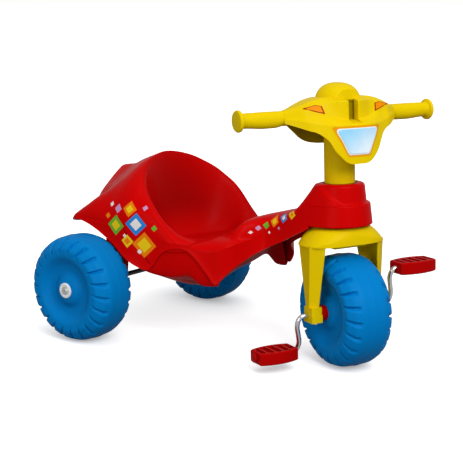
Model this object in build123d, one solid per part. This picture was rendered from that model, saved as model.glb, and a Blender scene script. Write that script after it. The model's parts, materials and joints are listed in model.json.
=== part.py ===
from build123d import *
import math
import os

# Children's tricycle: a moulded bucket seat on three hollow wheels, steered and pedalled at the front.
# Millimetres. +X is forwards, +Y is the rider's left, +Z is up and the floor is z = 0.
# Places along X are counted from the rear axle, which stands rear_axle_x from the origin.
# Front pieces are made in the steering frame: u forwards, v left, w up along the steering axis,
# with w = 0 at the top of the fork crown, and are then leaned back and turned to the rest angle.

# Stance
rear_axle_x = -244.6
wheelbase = 485.0
rear_track = 397.0
steer_offset = 19.5
steer_rake = 3.3
steer_at_rest = -26.0
crown_top_z = 250.0

# Fits; spare is how far a cutting shape runs past what it cuts
running_gap = 0.08
seat_gap = 0.03
side_gap = 0.3
spare = 1.0

# Wheels
wheel_radius = 104.0
wheel_width = 96.0
wheel_wall = 4.5
tread_edge_radius = 97.0
tread_edge_y = 37.0
tread_crown_y = 22.0
tread_crown_drop = 1.0
side_bulge_radius = 82.0
side_inner_radius = 62.0
side_lean = 2.0
dish_radius = 44.0
dish_depth = 14.0
hub_boss_radius = 29.0
hub_boss_reach = 44.0
boss_flare = 4.0
hub_bore_radius = 13.0
notch_count = 22
notch_depth = 3.2
notch_angle = 3.4
notch_inner_radius = 74.0
notch_start_y = 27.0
wheel_rounding = [0, 24, 14, 12, 10, 6, 5, 4, 0, 0]

# Rear axle and its small parts
axle_radius = 5.0
bush_length = 18.0
stop_ring_radius = 9.0
stop_ring_width = 4.0
hub_washer_radius = 11.0
hub_washer_width = 2.2
axle_cap_radius = 6.5
axle_cap_width = 3.0
axle_cap_wall = 1.5

# Body shell
wall = 4.0
tail_x = -104.0
tail_corner_x = -92.0
tail_corner_y = 84.0
tail_tip_x = -54.0
fender_half_width = 167.0
fender_front_x = 84.0
tub_middle_x = 185.0
tub_middle_half_width = 146.0
tub_front_x = 262.0
tub_front_half_width = 119.0
neck_start_x = 306.0
neck_half_width = 49.0
plan_rounding = [0, 30, 14, 60, 60, 24, 26, 0, 0]
arch_gap = 3.5
arch_inner_y = 147.0

rear_hem_z = 196.0
tail_edge_rise = 12.0
rear_ledge_z = 317.0
rear_ledge_x = -66.0
ledge_depth = 12.0
ledge_drop = 22.0
cowl_start = 32.0
cowl_rise = 6.0
rim_back_x = 50.0
rim_back_z = 355.0
rim_middle_x = 127.0
rim_middle_z = 283.0
rim_front_x = 207.0
rim_front_z = 226.0
neck_low_z = 243.0
neck_low_x = 258.0
neck_drop_to_head = 88.0
neck_high_z = 285.0
head_slope_drop = 4.0
top_rounding = [0, 6, 4, 30, 8, 120, 30, 60, 20, 8, 0]
hem_front_z = 126.0
hem_side_z = 137.0
hem_fender_z = 163.0
hem_neck_z = 188.0
hem_head_z = 247.0
hem_head_drop = 6.0
hem_neck_setback = 4.0
hem_tip_rise = 8.0
hem_tip_reach = 4.0
hem_tip_length = 18.0
hem_rounding = [0, 20, 20, 10, 10, 80, 0, 0]

shoulder_z = 272.0
shoulder_y = 150.0
crest_z = 362.0
tail_crest_z = 320.0
tail_shoulder_z = 226.0
shoulder_drop = 36.0
arch_margin = 3.0
haunch_share = 0.6
tail_haunch_rise = 0.25
arch_tail_margin = 6.0
arch_setback = 20.0

bowl_floor_z = 186.0
bowl_floor_x = 158.0
bowl_floor_half_length = 62.0
bowl_floor_half_width = 88.0
bowl_low_z = 205.0
bowl_low_half_length = 92.0
bowl_low_half_width = 114.0
bowl_middle_z = 262.0
bowl_middle_half_length = 110.0
bowl_middle_half_width = 139.0
bowl_top_z = 380.0
bowl_top_x = 176.0
bowl_top_half_length = 130.0
bowl_top_half_width = 154.0

opening_left_x = 136.0
opening_right_x = 258.0
opening_top_x = 189.0
opening_top_z = 199.0
opening_lean = 0.35

# The hull under the tub, as ellipses: height, centre along X, half length and half width
hull_rings = [
    (96.0, 166.0, 12.0, 22.0),
    (105.0, 162.0, 28.0, 58.0),
    (125.0, 153.0, 56.0, 96.0),
    (150.0, 152.0, 78.0, 124.0),
    (212.0, 160.0, 114.0, 148.0),
]

# Steering head
head_bottom_radius = 59.0
head_step_radius = 55.0
head_tier_radius = 48.5
head_top_radius = 45.0
head_step_w = 52.0
head_top_w = 88.0
head_bottom_w = 4.0
head_edge_radius = 6.0
head_low_rounding = 2.0
head_step_rounding = 1.5
head_tube_wall = 4.0
bush_wall = 4.0
head_bush_length = 22.0
thrust_radius = 44.0
swing_room = 6.0
swing_above = 2.0

# Axle ribs and clips
rib_y = 95.0
rib_width = 12.0
rib_length = 46.0
clip_drop = 12.0
clip_length = 46.0
clip_screw_spacing = 32.0
screw_radius = 2.0
screw_head_radius = 4.0
screw_head_height = 2.4
screw_length = 22.0
screw_end_gap = 4.0

# Steering column
column_radius = 28.0
column_wall = 4.0
column_top_w = 222.0
column_flange = 66.0
column_flange_height = 5.0

# Fork
crown_height = 28.0
crown_back_u = -46.0
crown_front_u = 52.0
crown_half_width = 85.0
crown_corner_radius = 40.0
crown_edge_radius = 11.0
crown_wall = 4.5
leg_top_length = 42.0
leg_top_width = 30.0
leg_foot_length = 27.0
leg_foot_width = 19.0
leg_foot_outer_v = 77.0
leg_corner_radius = 5.0
leg_top_u = 2.0
leg_inner_rounding = 0.5
leg_wall = 4.0
leg_lap = 6.0
shoe_block_height = 13.0
shoe_margin = 1.5
shoe_drop = 14.0
shoe_screw_spacing = 19.0

# Crank, drive and pedals
crank_rod_radius = 4.5
crank_radius = 72.7
crank_angle = -106.6
crank_bend_radius = 9.0
crank_arm_v = 89.0
drive_boss_radius = 14.0
drive_plug_length = 22.0
drive_pin_radius = 2.0
drive_pin_length = 20.0
drive_pin_depth = 12.0
pedal_v = 138.3
pedal_length = 78.0
pedal_middle_width = 54.0
pedal_end_width = 37.0
pedal_height = 23.0
pedal_edge = 2.0
pedal_pocket_depth = 5.0
pedal_pocket_margin = 5.0
pedal_rib_count = 4
pedal_rib_width = 4.0
push_nut_radius = 8.0
push_nut_width = 4.0
push_nut_wall = 1.5

# Handlebar
grip_u = -8.0
grip_w = 209.0
grip_radius = 13.5
grip_end_v = 196.0
grip_flange_radius = 20.0
grip_flange_width = 7.0
fairing_wall = 3.5
wing_end_v = 116.0
wing_end_low_w = 198.0
wing_end_high_w = 222.0
wing_back_u = -36.0
wing_crest_w = 246.0
wing_crest_v = 66.0
nose_front_u = 77.0
nose_low_w = 126.0
nose_half_width = 33.0
brow_u = 64.0
brow_w = 193.0
brow_half_width = 58.0
fairing_low_back_w = 186.0
nose_flat_half_width = 28.0
cheek_low_w = 138.0
cheek_low_v = 37.0
cheek_high_w = 166.0
cheek_high_v = 53.0
wing_corner_v = 110.0
wing_corner_w = 203.0
crest_flat_v = 38.0
front_rounding = [0, 10, 12, 16, 4, 3, 8, 20, 0, 0]
back_wall_height = 30.0
back_slope = 12.0
back_slope_drop = 8.0
crest_front_drop = 3.0
nose_lean = 2.0
nose_lip = 6.0
nose_bevel = 9.0
nose_back_u = 42.0
belly_front_u = 34.0
belly_front_w = 152.0
belly_drop = 14.0
side_top_rounding = [4, 6, 20, 14, 16, 4]
side_low_rounding = [4, 4, 8, 20, 0]
wing_back_flat_v = 46.0
wing_tip_v = 118.0
wing_tip_back_u = -23.0
wing_tip_front_u = 11.0
wing_front_u = 40.0
wing_front_v = 98.0
brow_corner_u = 68.0
fairing_plan_rounding = [0, 20, 6, 6, 14, 14, 8, 0]
socket_wall = 4.0
socket_low_w = 158.0
recess_plate_drop = 4.0
recess_floor_setback = 6.0
dome_core_margin = 2.0
grip_root = 8.0
dome_u = -10.0
dome_radius = 42.0
dome_base_w = 232.0
dome_top_w = 267.0
dome_facet_u = 22.0
dome_side_share = 0.72
dome_side_height_share = 0.7
recess_low_w = 203.0
recess_low_half_width = 16.0
recess_high_half_width = 31.0
recess_back_u = 18.0
slot_half_width = 10.0
slot_depth = 14.0
slot_above_dome_base = 4.0
bolt_w = 172.0
bolt_radius = 3.0
bolt_head_radius = 6.0
bolt_head_height = 3.5
nut_height = 5.0
label_thickness = 1.0
label_proud = 0.3
pocket_depth = 4.0
lamp_top_half_width = 42.0
lamp_low_half_width = 21.0
lamp_height = 48.0
lamp_corner_radius = 5.0
indicator_length = 31.0
indicator_height = 17.0
indicator_v = 72.0
indicator_slope_share = 0.32
indicator_corner_radius = 1.5

# What follows from the sizes above
head_x = wheelbase - steer_offset
rake = math.radians(steer_rake)
axle_length = rear_track + 2 * (hub_boss_reach + side_gap + hub_washer_width + axle_cap_wall)
crank_turn = math.radians(crank_angle)
hub_u = steer_offset * math.cos(rake) - (crown_top_z - wheel_radius) * math.sin(rake)
hub_w = -steer_offset * math.sin(rake) - (crown_top_z - wheel_radius) * math.cos(rake)
shoe_outer_v = leg_foot_outer_v + shoe_margin
shoe_inner_v = leg_foot_outer_v - leg_foot_width - shoe_margin
sides = {"right": -1, "left": 1}

steering_frame = Plane(
    origin=(head_x, 0, crown_top_z),
    x_dir=(math.cos(rake), 0, math.sin(rake)),
    z_dir=(-math.sin(rake), 0, math.cos(rake)),
)
rest_place = Location((rear_axle_x, 0, 0))
front_place = rest_place * steering_frame.location * Rot(0, 0, steer_at_rest)
along_y = Rot(-90, 0, 0)
standing = (Align.CENTER, Align.CENTER, Align.MIN)


def rod(radius, start, end):
    """A round bar along Y from y = start to y = end."""
    low = min(start, end)
    high = max(start, end)
    bar = Cylinder(radius, high - low, align=standing)
    return Pos(0, low, 0) * along_y * bar


def tube(outer, inner, start, end):
    """A round tube along Y."""
    return rod(outer, start, end) - rod(inner, min(start, end) - spare, max(start, end) + spare)


def post(radius, low, high):
    """A round bar along Z from z = low to z = high."""
    return Pos(0, 0, low) * Cylinder(radius, high - low, align=standing)


def slab(x_span, y_span, z_span):
    """A box given by its spans along X, Y and Z."""
    box = Box(x_span[1] - x_span[0], y_span[1] - y_span[0], z_span[1] - z_span[0])
    return Pos(sum(x_span) / 2, sum(y_span) / 2, sum(z_span) / 2) * box


def closed_face(points, radii):
    """A flat face with straight sides and one rounding for each corner."""
    return make_face(FilletPolyline(*points, radius=radii, close=True))


def mirrored_face(half, radii):
    """A face that is symmetric about its first axis; half runs from the axis round to the axis again."""
    inner = half[1:-1]
    other = [(a, -b) for a, b in reversed(inner)]
    points = [half[0]] + inner + [half[-1]] + other
    all_radii = [radii[0]] + radii[1:-1] + [radii[-1]] + list(reversed(radii[1:-1]))
    return closed_face(points, all_radii)


def wheel_profile():
    """The wheel's section, with radius along X and width along Y."""
    edge = wheel_width / 2
    half = [
        (wheel_radius, 0),
        (wheel_radius - tread_crown_drop, tread_crown_y),
        (tread_edge_radius, tread_edge_y),
        (side_bulge_radius, edge),
        (side_inner_radius, edge - side_lean),
        (dish_radius, edge - dish_depth),
        (hub_boss_radius + boss_flare, edge - dish_depth),
        (hub_boss_radius, hub_boss_reach),
        (hub_bore_radius, hub_boss_reach),
        (hub_bore_radius, 0),
    ]
    return mirrored_face(half, wheel_rounding)


def wheel():
    """Hollow wheel about the Y axis, centred on the origin, with notches round both shoulders."""
    section = wheel_profile()
    cavity = offset(section, amount=-wheel_wall, kind=Kind.INTERSECTION)
    body = revolve(section, axis=Axis.Y) - revolve(cavity, axis=Axis.Y)
    reach = wheel_radius + spare
    corner = Pos((notch_inner_radius + reach) / 2, (notch_start_y + wheel_width) / 2)
    band = corner * Rectangle(reach - notch_inner_radius, wheel_width - notch_start_y)
    band = band - offset(section, amount=-notch_depth, kind=Kind.INTERSECTION)
    notch = revolve(band, axis=Axis.Y, revolution_arc=notch_angle)
    notches = []
    for number in range(notch_count):
        turned = Rot(0, 360 * number / notch_count, 0) * notch
        notches += [turned, mirror(turned, about=Plane.XZ)]
    return body - notches


def plan_outline(inset):
    """The body seen from above, drawn in by inset."""
    half = [
        (tail_x, 0),
        (tail_corner_x, tail_corner_y),
        (tail_tip_x, fender_half_width),
        (fender_front_x, fender_half_width),
        (tub_middle_x, tub_middle_half_width),
        (tub_front_x, tub_front_half_width),
        (neck_start_x, neck_half_width),
        (head_x, neck_half_width),
        (head_x, 0),
    ]
    face = mirrored_face(half, plan_rounding)
    if inset:
        face = offset(face, amount=-inset, kind=Kind.INTERSECTION)
    return face


def top_line():
    """The body's top edge in side view, from the tail to the head."""
    slope_top_x = head_x - head_top_radius
    slope_top_z = crown_top_z + head_top_w - head_slope_drop
    return [
        (tail_x, rear_hem_z + tail_edge_rise),
        (rear_ledge_x - ledge_depth, rear_ledge_z - ledge_drop),
        (rear_ledge_x, rear_ledge_z),
        (rear_ledge_x + cowl_start, rear_ledge_z + cowl_rise),
        (rim_back_x, rim_back_z),
        (rim_middle_x, rim_middle_z),
        (rim_front_x, rim_front_z),
        (neck_low_x, neck_low_z),
        (head_x - neck_drop_to_head, neck_high_z),
        (slope_top_x, slope_top_z),
        (head_x, slope_top_z),
    ]


def side_face(points, radii):
    """A face in side view, X across and Z up."""
    return Plane.XZ * closed_face(points, radii)


def outer_side():
    """The body's side view with its lower hem."""
    hem = [
        (head_x, hem_head_z),
        (head_x - head_bottom_radius, hem_head_z - hem_head_drop),
        (neck_start_x - hem_neck_setback, hem_neck_z),
        (tub_front_x + hem_tip_reach, hem_front_z + hem_tip_rise),
        (tub_front_x + hem_tip_reach - hem_tip_length, hem_front_z),
        (tub_middle_x, hem_side_z),
        (fender_front_x, hem_fender_z),
        (tail_x, rear_hem_z),
    ]
    return side_face(top_line() + hem, top_rounding + hem_rounding)


def inner_side():
    """The hollow's side view: the top edge drawn in by the wall, open below."""
    hem = [(head_x, 0), (tail_x, 0)]
    face = closed_face(top_line() + hem, top_rounding + [0, 0])
    return Plane.XZ * offset(face, amount=-wall, kind=Kind.INTERSECTION)


def arch_face(x, crest, shoulder, haunch_rise, inset):
    """The body's outline seen from the front at one place along X: a crest falling to rounded shoulders."""
    half_width = fender_half_width + arch_margin - inset
    haunch_y = haunch_share * shoulder_y
    haunch_z = shoulder + haunch_rise * (crest - shoulder) - inset
    points = [
        (-half_width, 0),
        (-half_width, shoulder - shoulder_drop),
        (-shoulder_y, shoulder - inset),
        (-haunch_y, haunch_z),
        (0, crest - inset),
        (haunch_y, haunch_z),
        (shoulder_y, shoulder - inset),
        (half_width, shoulder - shoulder_drop),
        (half_width, 0),
    ]
    curve = Spline(*points[1:-1])
    skirt = Polyline(points[-2], points[-1], points[0], points[1])
    return Plane.YZ.offset(x) * make_face(Curve() + [curve, skirt])


def arch_form(inset):
    """The crowned block that the body's cross-section follows, lower towards the tail."""
    tail = arch_face(tail_x - arch_tail_margin, tail_crest_z, tail_shoulder_z, tail_haunch_rise, inset)
    middle = arch_face(rim_back_x - arch_setback, crest_z, shoulder_z, haunch_share, inset)
    front = arch_face(head_x + head_bottom_radius, crest_z, shoulder_z, haunch_share, inset)
    return loft([tail, middle, front], ruled=True)


def bowl(growth):
    """The seat's hollow, as ellipses growing upwards; growth makes the wall's outer side."""
    places = [
        (bowl_floor_z - growth, bowl_floor_x, bowl_floor_half_length, bowl_floor_half_width),
        (bowl_low_z - growth, bowl_floor_x, bowl_low_half_length, bowl_low_half_width),
        (bowl_middle_z, bowl_floor_x, bowl_middle_half_length, bowl_middle_half_width),
        (bowl_top_z, bowl_top_x, bowl_top_half_length, bowl_top_half_width),
    ]
    rings = [Pos(x, 0, z) * Ellipse(a + growth, b + growth) for z, x, a, b in places]
    return loft(rings)


def head_outline(inset):
    """The steering head's section about its axis, radius across and height up."""
    low = swing_above - spare if inset else head_bottom_w
    points = [
        (0, low),
        (head_bottom_radius - inset, low),
        (head_step_radius - inset, head_step_w - inset),
        (head_tier_radius - inset, head_step_w - inset),
        (head_top_radius - inset, head_top_w - inset),
        (0, head_top_w - inset),
    ]
    return points


def head_form(inset):
    """The steering head as a turned solid on the raked axis."""
    edge = max(head_edge_radius - inset, head_low_rounding)
    rounding = [0, head_low_rounding, head_step_rounding, head_step_rounding, edge, 0]
    face = closed_face(head_outline(inset), rounding)
    return steering_frame.location * revolve(Plane.XZ * face, axis=Axis.Z)


def steering_swing():
    """The space that the fork crown sweeps as it steers, with room to spare, below the head."""
    reach = math.hypot(crown_half_width, max(-crown_back_u, crown_front_u) / 2) + swing_room
    points = [
        (0, -crown_top_z),
        (reach, -crown_top_z),
        (reach, -crown_edge_radius),
        (reach - crown_edge_radius, swing_above),
        (0, swing_above),
    ]
    face = Plane.XZ * make_face(Polyline(*points, close=True))
    return steering_frame.location * revolve(face, axis=Axis.Z)


def arch_openings():
    """The arched opening in each side of the tub's skirt, as a skin to cut away."""
    arch = Spline(
        (opening_left_x, hem_front_z),
        (opening_top_x, opening_top_z),
        (opening_right_x, hem_front_z),
        tangents=((opening_lean, 1), (opening_lean, -1)),
    )
    face = make_face(Curve() + [arch, Line((opening_right_x, hem_front_z), (opening_left_x, hem_front_z))])
    block = extrude(Plane.XZ * face, amount=fender_half_width + spare, both=True)
    core = extrude(plan_outline(wall + spare), amount=bowl_top_z)
    return block - core


def hull():
    """The tub's rounded underside, which shows in the arched openings: a shell that is open at the top."""
    outer = [Pos(x, 0, z) * Ellipse(a, b) for z, x, a, b in hull_rings]
    inner = [Pos(x, 0, z + wall) * Ellipse(a - wall, b - wall) for z, x, a, b in hull_rings]
    return loft(outer) - loft(inner)


def axle_ribs(hollow):
    """Two ribs that come down from the shell to the rear axle, filling the hollow above it."""
    ribs = []
    for side in sides.values():
        span = (side * rib_y - rib_width / 2, side * rib_y + rib_width / 2)
        rib = slab((-rib_length / 2, rib_length / 2), span, (wheel_radius, bowl_top_z)) & hollow
        ribs.append(rib)
    return ribs


def seat_body():
    """One moulding: bucket seat over a hull, cowl, fenders, neck and steering head, open below."""
    high = bowl_top_z
    reach = 2 * fender_half_width
    outer = extrude(plan_outline(0), amount=high) & extrude(outer_side(), amount=reach, both=True)
    outer = outer & arch_form(0)
    hollow = extrude(plan_outline(wall), amount=high) & extrude(inner_side(), amount=reach, both=True)
    hollow = hollow & arch_form(wall)
    hollow = hollow - bowl(wall)
    shell = outer + head_form(0)
    shell = shell - hollow - head_form(wall) - bowl(0) - arch_openings() + hull()
    for side in sides.values():
        well = rod(wheel_radius + arch_gap, side * arch_inner_y, side * reach)
        shell = shell - Pos(0, 0, wheel_radius) * well
    shell = shell - steering_swing()
    tube_outer = column_radius + bush_wall + head_tube_wall
    tube_inner = column_radius + bush_wall + seat_gap
    bearing = post(tube_outer, head_bottom_w, head_top_w - wall / 2)
    shell = shell + steering_frame.location * bearing
    shell = shell - steering_frame.location * post(tube_inner, head_bottom_w - spare, head_top_w + spare)
    shell = shell + axle_ribs(hollow)
    shell = shell - Pos(0, 0, wheel_radius) * rod(axle_radius + seat_gap, -reach, reach)
    for hole in clip_screw_places():
        hole_top = wheel_radius + screw_length
        shell = shell - hole * post(screw_radius + seat_gap, wheel_radius - spare, hole_top)
    return shell


def clip_screw_places():
    """Where the rear axle clips' screws stand, seen from above."""
    places = []
    for side in sides.values():
        for end in (-1, 1):
            places.append(Pos(end * clip_screw_spacing / 2, side * rib_y, 0))
    return places


def axle_clip(side):
    """A bar under the rear axle that closes the rib's half-round seat."""
    span = (side * rib_y - rib_width / 2, side * rib_y + rib_width / 2)
    clip = slab((-clip_length / 2, clip_length / 2), span, (wheel_radius - clip_drop, wheel_radius))
    clip = clip - Pos(0, 0, wheel_radius) * rod(axle_radius + seat_gap, -rear_track, rear_track)
    for hole in clip_screw_places():
        clip = clip - hole * post(screw_radius + seat_gap, 0, wheel_radius + spare)
    return clip


def screw(length):
    """A round-headed screw pointing up, its head's upper face at z = 0."""
    return post(screw_head_radius, -screw_head_height, 0) + post(screw_radius, -screw_head_height / 2, length)


def axle_clip_screws():
    """The four screws of the rear axle clips."""
    seat = Pos(0, 0, wheel_radius - clip_drop)
    return [hole * seat * screw(clip_drop + screw_length - screw_end_gap) for hole in clip_screw_places()]


def rear_axle():
    """The round bar that carries both rear wheels."""
    return Pos(0, 0, wheel_radius) * rod(axle_radius, -axle_length / 2, axle_length / 2)


def on_axle(side, near, far, outer, inner):
    """A ring on the rear axle, from near to far counted outwards from the wheel's middle."""
    middle = side * rear_track / 2
    return Pos(0, 0, wheel_radius) * tube(outer, inner, middle + side * near, middle + side * far)


def rear_wheel(side):
    """One rear wheel in its place."""
    return Pos(0, side * rear_track / 2, wheel_radius) * wheel()


def rear_bushes(side):
    """The two bushes pressed into one rear wheel's hub."""
    inner = axle_radius + running_gap
    outer = hub_bore_radius - seat_gap
    near = hub_boss_reach - bush_length
    return [on_axle(side, end * near, end * hub_boss_reach, outer, inner) for end in (-1, 1)]


def stop_rings():
    """The push-on rings that keep the rear wheels from sliding inwards."""
    near = -hub_boss_reach - side_gap
    far = near - stop_ring_width
    bore = axle_radius + seat_gap
    return [on_axle(side, near, far, stop_ring_radius, bore) for side in sides.values()]


def hub_washers():
    """The pale washers outside the rear hubs."""
    near = hub_boss_reach + side_gap
    far = near + hub_washer_width
    bore = axle_radius + seat_gap
    return [on_axle(side, near, far, hub_washer_radius, bore) for side in sides.values()]


def axle_caps():
    """The push-on caps on the rear axle's ends."""
    caps = []
    for side in sides.values():
        start = side * (rear_track / 2 + hub_boss_reach + side_gap + hub_washer_width)
        cap = rod(axle_cap_radius, start, start + side * axle_cap_width)
        cap = cap - rod(axle_radius + seat_gap, start - side * spare, side * axle_length / 2)
        caps.append(Pos(0, 0, wheel_radius) * cap)
    return caps


def upper_head_bush():
    """The plain bush at the top of the steering head."""
    outer = column_radius + bush_wall
    ring = post(outer, head_top_w - head_bush_length, head_top_w)
    return ring - post(column_radius + running_gap, head_top_w - head_bush_length - spare, head_top_w + spare)


def lower_head_bush():
    """The flanged bush at the bottom of the head, which also carries the weight on the fork crown."""
    outer = column_radius + bush_wall
    low = side_gap
    ring = post(outer, low, head_bottom_w + head_bush_length) + post(thrust_radius, low, head_bottom_w)
    return ring - post(column_radius + running_gap, low - spare, head_bottom_w + head_bush_length + spare)


def steering_column():
    """The tube through the head, with a square flange under the crown that keys the fork to it."""
    low = -crown_height
    column = post(column_radius, low, column_top_w)
    flange = slab(
        (-column_flange / 2, column_flange / 2),
        (-column_flange / 2, column_flange / 2),
        (low, low + column_flange_height),
    )
    column = column + flange - post(column_radius - column_wall, low - spare, column_top_w + spare)
    return column - bolt_hole()


def bolt_hole():
    """The hole for the handlebar bolt, front to back through the column."""
    reach = 2 * column_radius
    return Pos(0, 0, bolt_w) * Rot(0, 90, 0) * Cylinder(bolt_radius + seat_gap, 2 * reach)


def handlebar_bolt():
    """The bolt through the handlebar socket and the column, its head at the back."""
    half = column_radius + socket_wall
    shank = Rot(0, 90, 0) * post(bolt_radius, -half, half + nut_height)
    head = Rot(0, 90, 0) * post(bolt_head_radius, -half - bolt_head_height, -half)
    return Pos(0, 0, bolt_w) * (shank + head)


def handlebar_nut():
    """The nut on the handlebar bolt."""
    half = column_radius + socket_wall
    hexagon = extrude(RegularPolygon(bolt_head_radius, 6), amount=nut_height)
    nut = Pos(0, 0, half) * (hexagon - post(bolt_radius + seat_gap, -spare, nut_height + spare))
    return Pos(0, 0, bolt_w) * Rot(0, 90, 0) * nut


def crown_plan(inset):
    """The fork crown seen from above."""
    length = crown_front_u - crown_back_u - 2 * inset
    width = 2 * (crown_half_width - inset)
    middle = (crown_front_u + crown_back_u) / 2
    return Pos(middle, 0) * RectangleRounded(length, width, crown_corner_radius - inset)


def leg_section(w, u, length, outer_v, width, side, inset):
    """One level section of a fork leg, drawn in by inset on three sides and open inwards if inset."""
    inner_v = outer_v - width
    if inset:
        inner_v = inner_v - 2 * inset
    deep = outer_v - inset - inner_v
    place = Pos(u, side * (inner_v + deep / 2), w)
    rounding = max(leg_corner_radius - inset, leg_inner_rounding)
    return place * RectangleRounded(length - 2 * inset, deep, rounding)


def leg_form(side, inset):
    """A fork leg from the crown down to its foot."""
    top_w = -crown_height + leg_lap
    foot_w = hub_w + shoe_block_height
    top = leg_section(top_w, leg_top_u, leg_top_length, crown_half_width, leg_top_width, side, inset)
    foot = leg_section(foot_w, hub_u, leg_foot_length, leg_foot_outer_v, leg_foot_width, side, inset)
    return loft([top, foot])


def shoe_block(side, low, high):
    """The block at a leg's foot between two levels."""
    length = leg_foot_length / 2 + shoe_margin
    near = min(side * shoe_inner_v, side * shoe_outer_v)
    far = max(side * shoe_inner_v, side * shoe_outer_v)
    return slab((hub_u - length, hub_u + length), (near, far), (low, high))


def crank_bore():
    """The running hole for the crank's middle, through both fork feet."""
    reach = 2 * crown_half_width
    return Pos(hub_u, 0, hub_w) * rod(crank_rod_radius + running_gap, -reach, reach)


def shoe_screw_places():
    """Where the fork shoes' screws stand, seen from above."""
    middle_v = (shoe_inner_v + shoe_outer_v) / 2
    places = []
    for side in sides.values():
        for end in (-1, 1):
            places.append(Pos(hub_u + end * shoe_screw_spacing / 2, side * middle_v, 0))
    return places


def fork():
    """Crown and two channel-shaped legs in one moulding."""
    crown = extrude(Pos(0, 0, -crown_height) * crown_plan(0), amount=crown_height)
    crown = fillet(crown.faces().sort_by(Axis.Z)[-1].edges(), crown_edge_radius)
    hollow = extrude(Pos(0, 0, -crown_height) * crown_plan(crown_wall), amount=crown_height - crown_wall)
    boss_side = column_flange / 2 + crown_wall
    boss = slab((-boss_side, boss_side), (-boss_side, boss_side), (-crown_height, -crown_wall / 2))
    for side in sides.values():
        top_v = (crown_half_width - leg_top_width, crown_half_width + spare)
        near = min(side * top_v[0], side * top_v[1])
        far = max(side * top_v[0], side * top_v[1])
        hollow = hollow - slab((crown_back_u, crown_front_u), (near, far), (-crown_height, 0))
    body = crown - hollow + boss
    for side in sides.values():
        body = body + (leg_form(side, 0) - leg_form(side, leg_wall))
        body = body + shoe_block(side, hub_w, hub_w + shoe_block_height)
    flange_side = column_flange / 2 + seat_gap
    key = slab(
        (-flange_side, flange_side),
        (-flange_side, flange_side),
        (-crown_height - spare, -crown_height + column_flange_height),
    )
    body = body - key - post(column_radius + seat_gap, -crown_height - spare, spare) - crank_bore()
    for hole in shoe_screw_places():
        depth = shoe_block_height - screw_end_gap / 2
        body = body - hole * post(screw_radius + seat_gap, hub_w - spare, hub_w + depth)
    return body


def fork_shoe(side):
    """The cap that closes a leg's foot round the crank from below."""
    shoe = shoe_block(side, hub_w - shoe_drop, hub_w) - crank_bore()
    for hole in shoe_screw_places():
        shoe = shoe - hole * post(screw_radius + seat_gap, hub_w - shoe_drop - spare, hub_w + spare)
    return shoe


def fork_shoe_screws():
    """The four screws of the fork shoes."""
    seat = Pos(0, 0, hub_w - shoe_drop)
    length = shoe_drop + shoe_block_height - screw_end_gap
    return [hole * seat * screw(length) for hole in shoe_screw_places()]


def crank_path():
    """The crank's centre line from the left end to the right end."""
    arm_u = crank_radius * math.cos(crank_turn)
    arm_w = crank_radius * math.sin(crank_turn)
    end_v = pedal_v + pedal_length / 2 + side_gap + push_nut_width - push_nut_wall
    points = [
        (hub_u - arm_u, end_v, hub_w - arm_w),
        (hub_u - arm_u, crank_arm_v, hub_w - arm_w),
        (hub_u, crank_arm_v, hub_w),
        (hub_u, -crank_arm_v, hub_w),
        (hub_u + arm_u, -crank_arm_v, hub_w + arm_w),
        (hub_u + arm_u, -end_v, hub_w + arm_w),
    ]
    return FilletPolyline(*points, radius=crank_bend_radius)


def pedal_crank():
    """The bent rod that is the front wheel's axle and both crank arms."""
    path = crank_path()
    section = Plane(origin=path @ 0, z_dir=path % 0) * Circle(crank_rod_radius)
    return sweep(section, path=path) - drive_pin_form(drive_pin_radius + seat_gap)


def drive_pin_form(radius):
    """The cross pin's round bar, upright through the crank inside the right drive boss."""
    place = Pos(hub_u, -(hub_boss_reach - drive_pin_depth), hub_w)
    return place * post(radius, -drive_pin_length / 2, drive_pin_length / 2)


def drive_boss(side):
    """The boss pressed into the front hub that fills the room between hub and fork leg."""
    bore = crank_rod_radius + seat_gap
    collar_start = hub_boss_reach + seat_gap
    collar = tube(drive_boss_radius, bore, side * collar_start, side * (shoe_inner_v - side_gap))
    plug_start = hub_boss_reach - drive_plug_length
    plug = tube(hub_bore_radius - seat_gap, bore, side * plug_start, side * collar_start)
    return Pos(hub_u, 0, hub_w) * (collar + plug) - drive_pin_form(drive_pin_radius + seat_gap)


def front_wheel():
    """The front wheel in its place between the fork legs."""
    return Pos(hub_u, 0, hub_w) * wheel()


def pedal_place(side):
    """The middle of one pedal."""
    arm_u = crank_radius * math.cos(crank_turn)
    arm_w = crank_radius * math.sin(crank_turn)
    return Pos(hub_u - side * arm_u, side * pedal_v, hub_w - side * arm_w)


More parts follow.
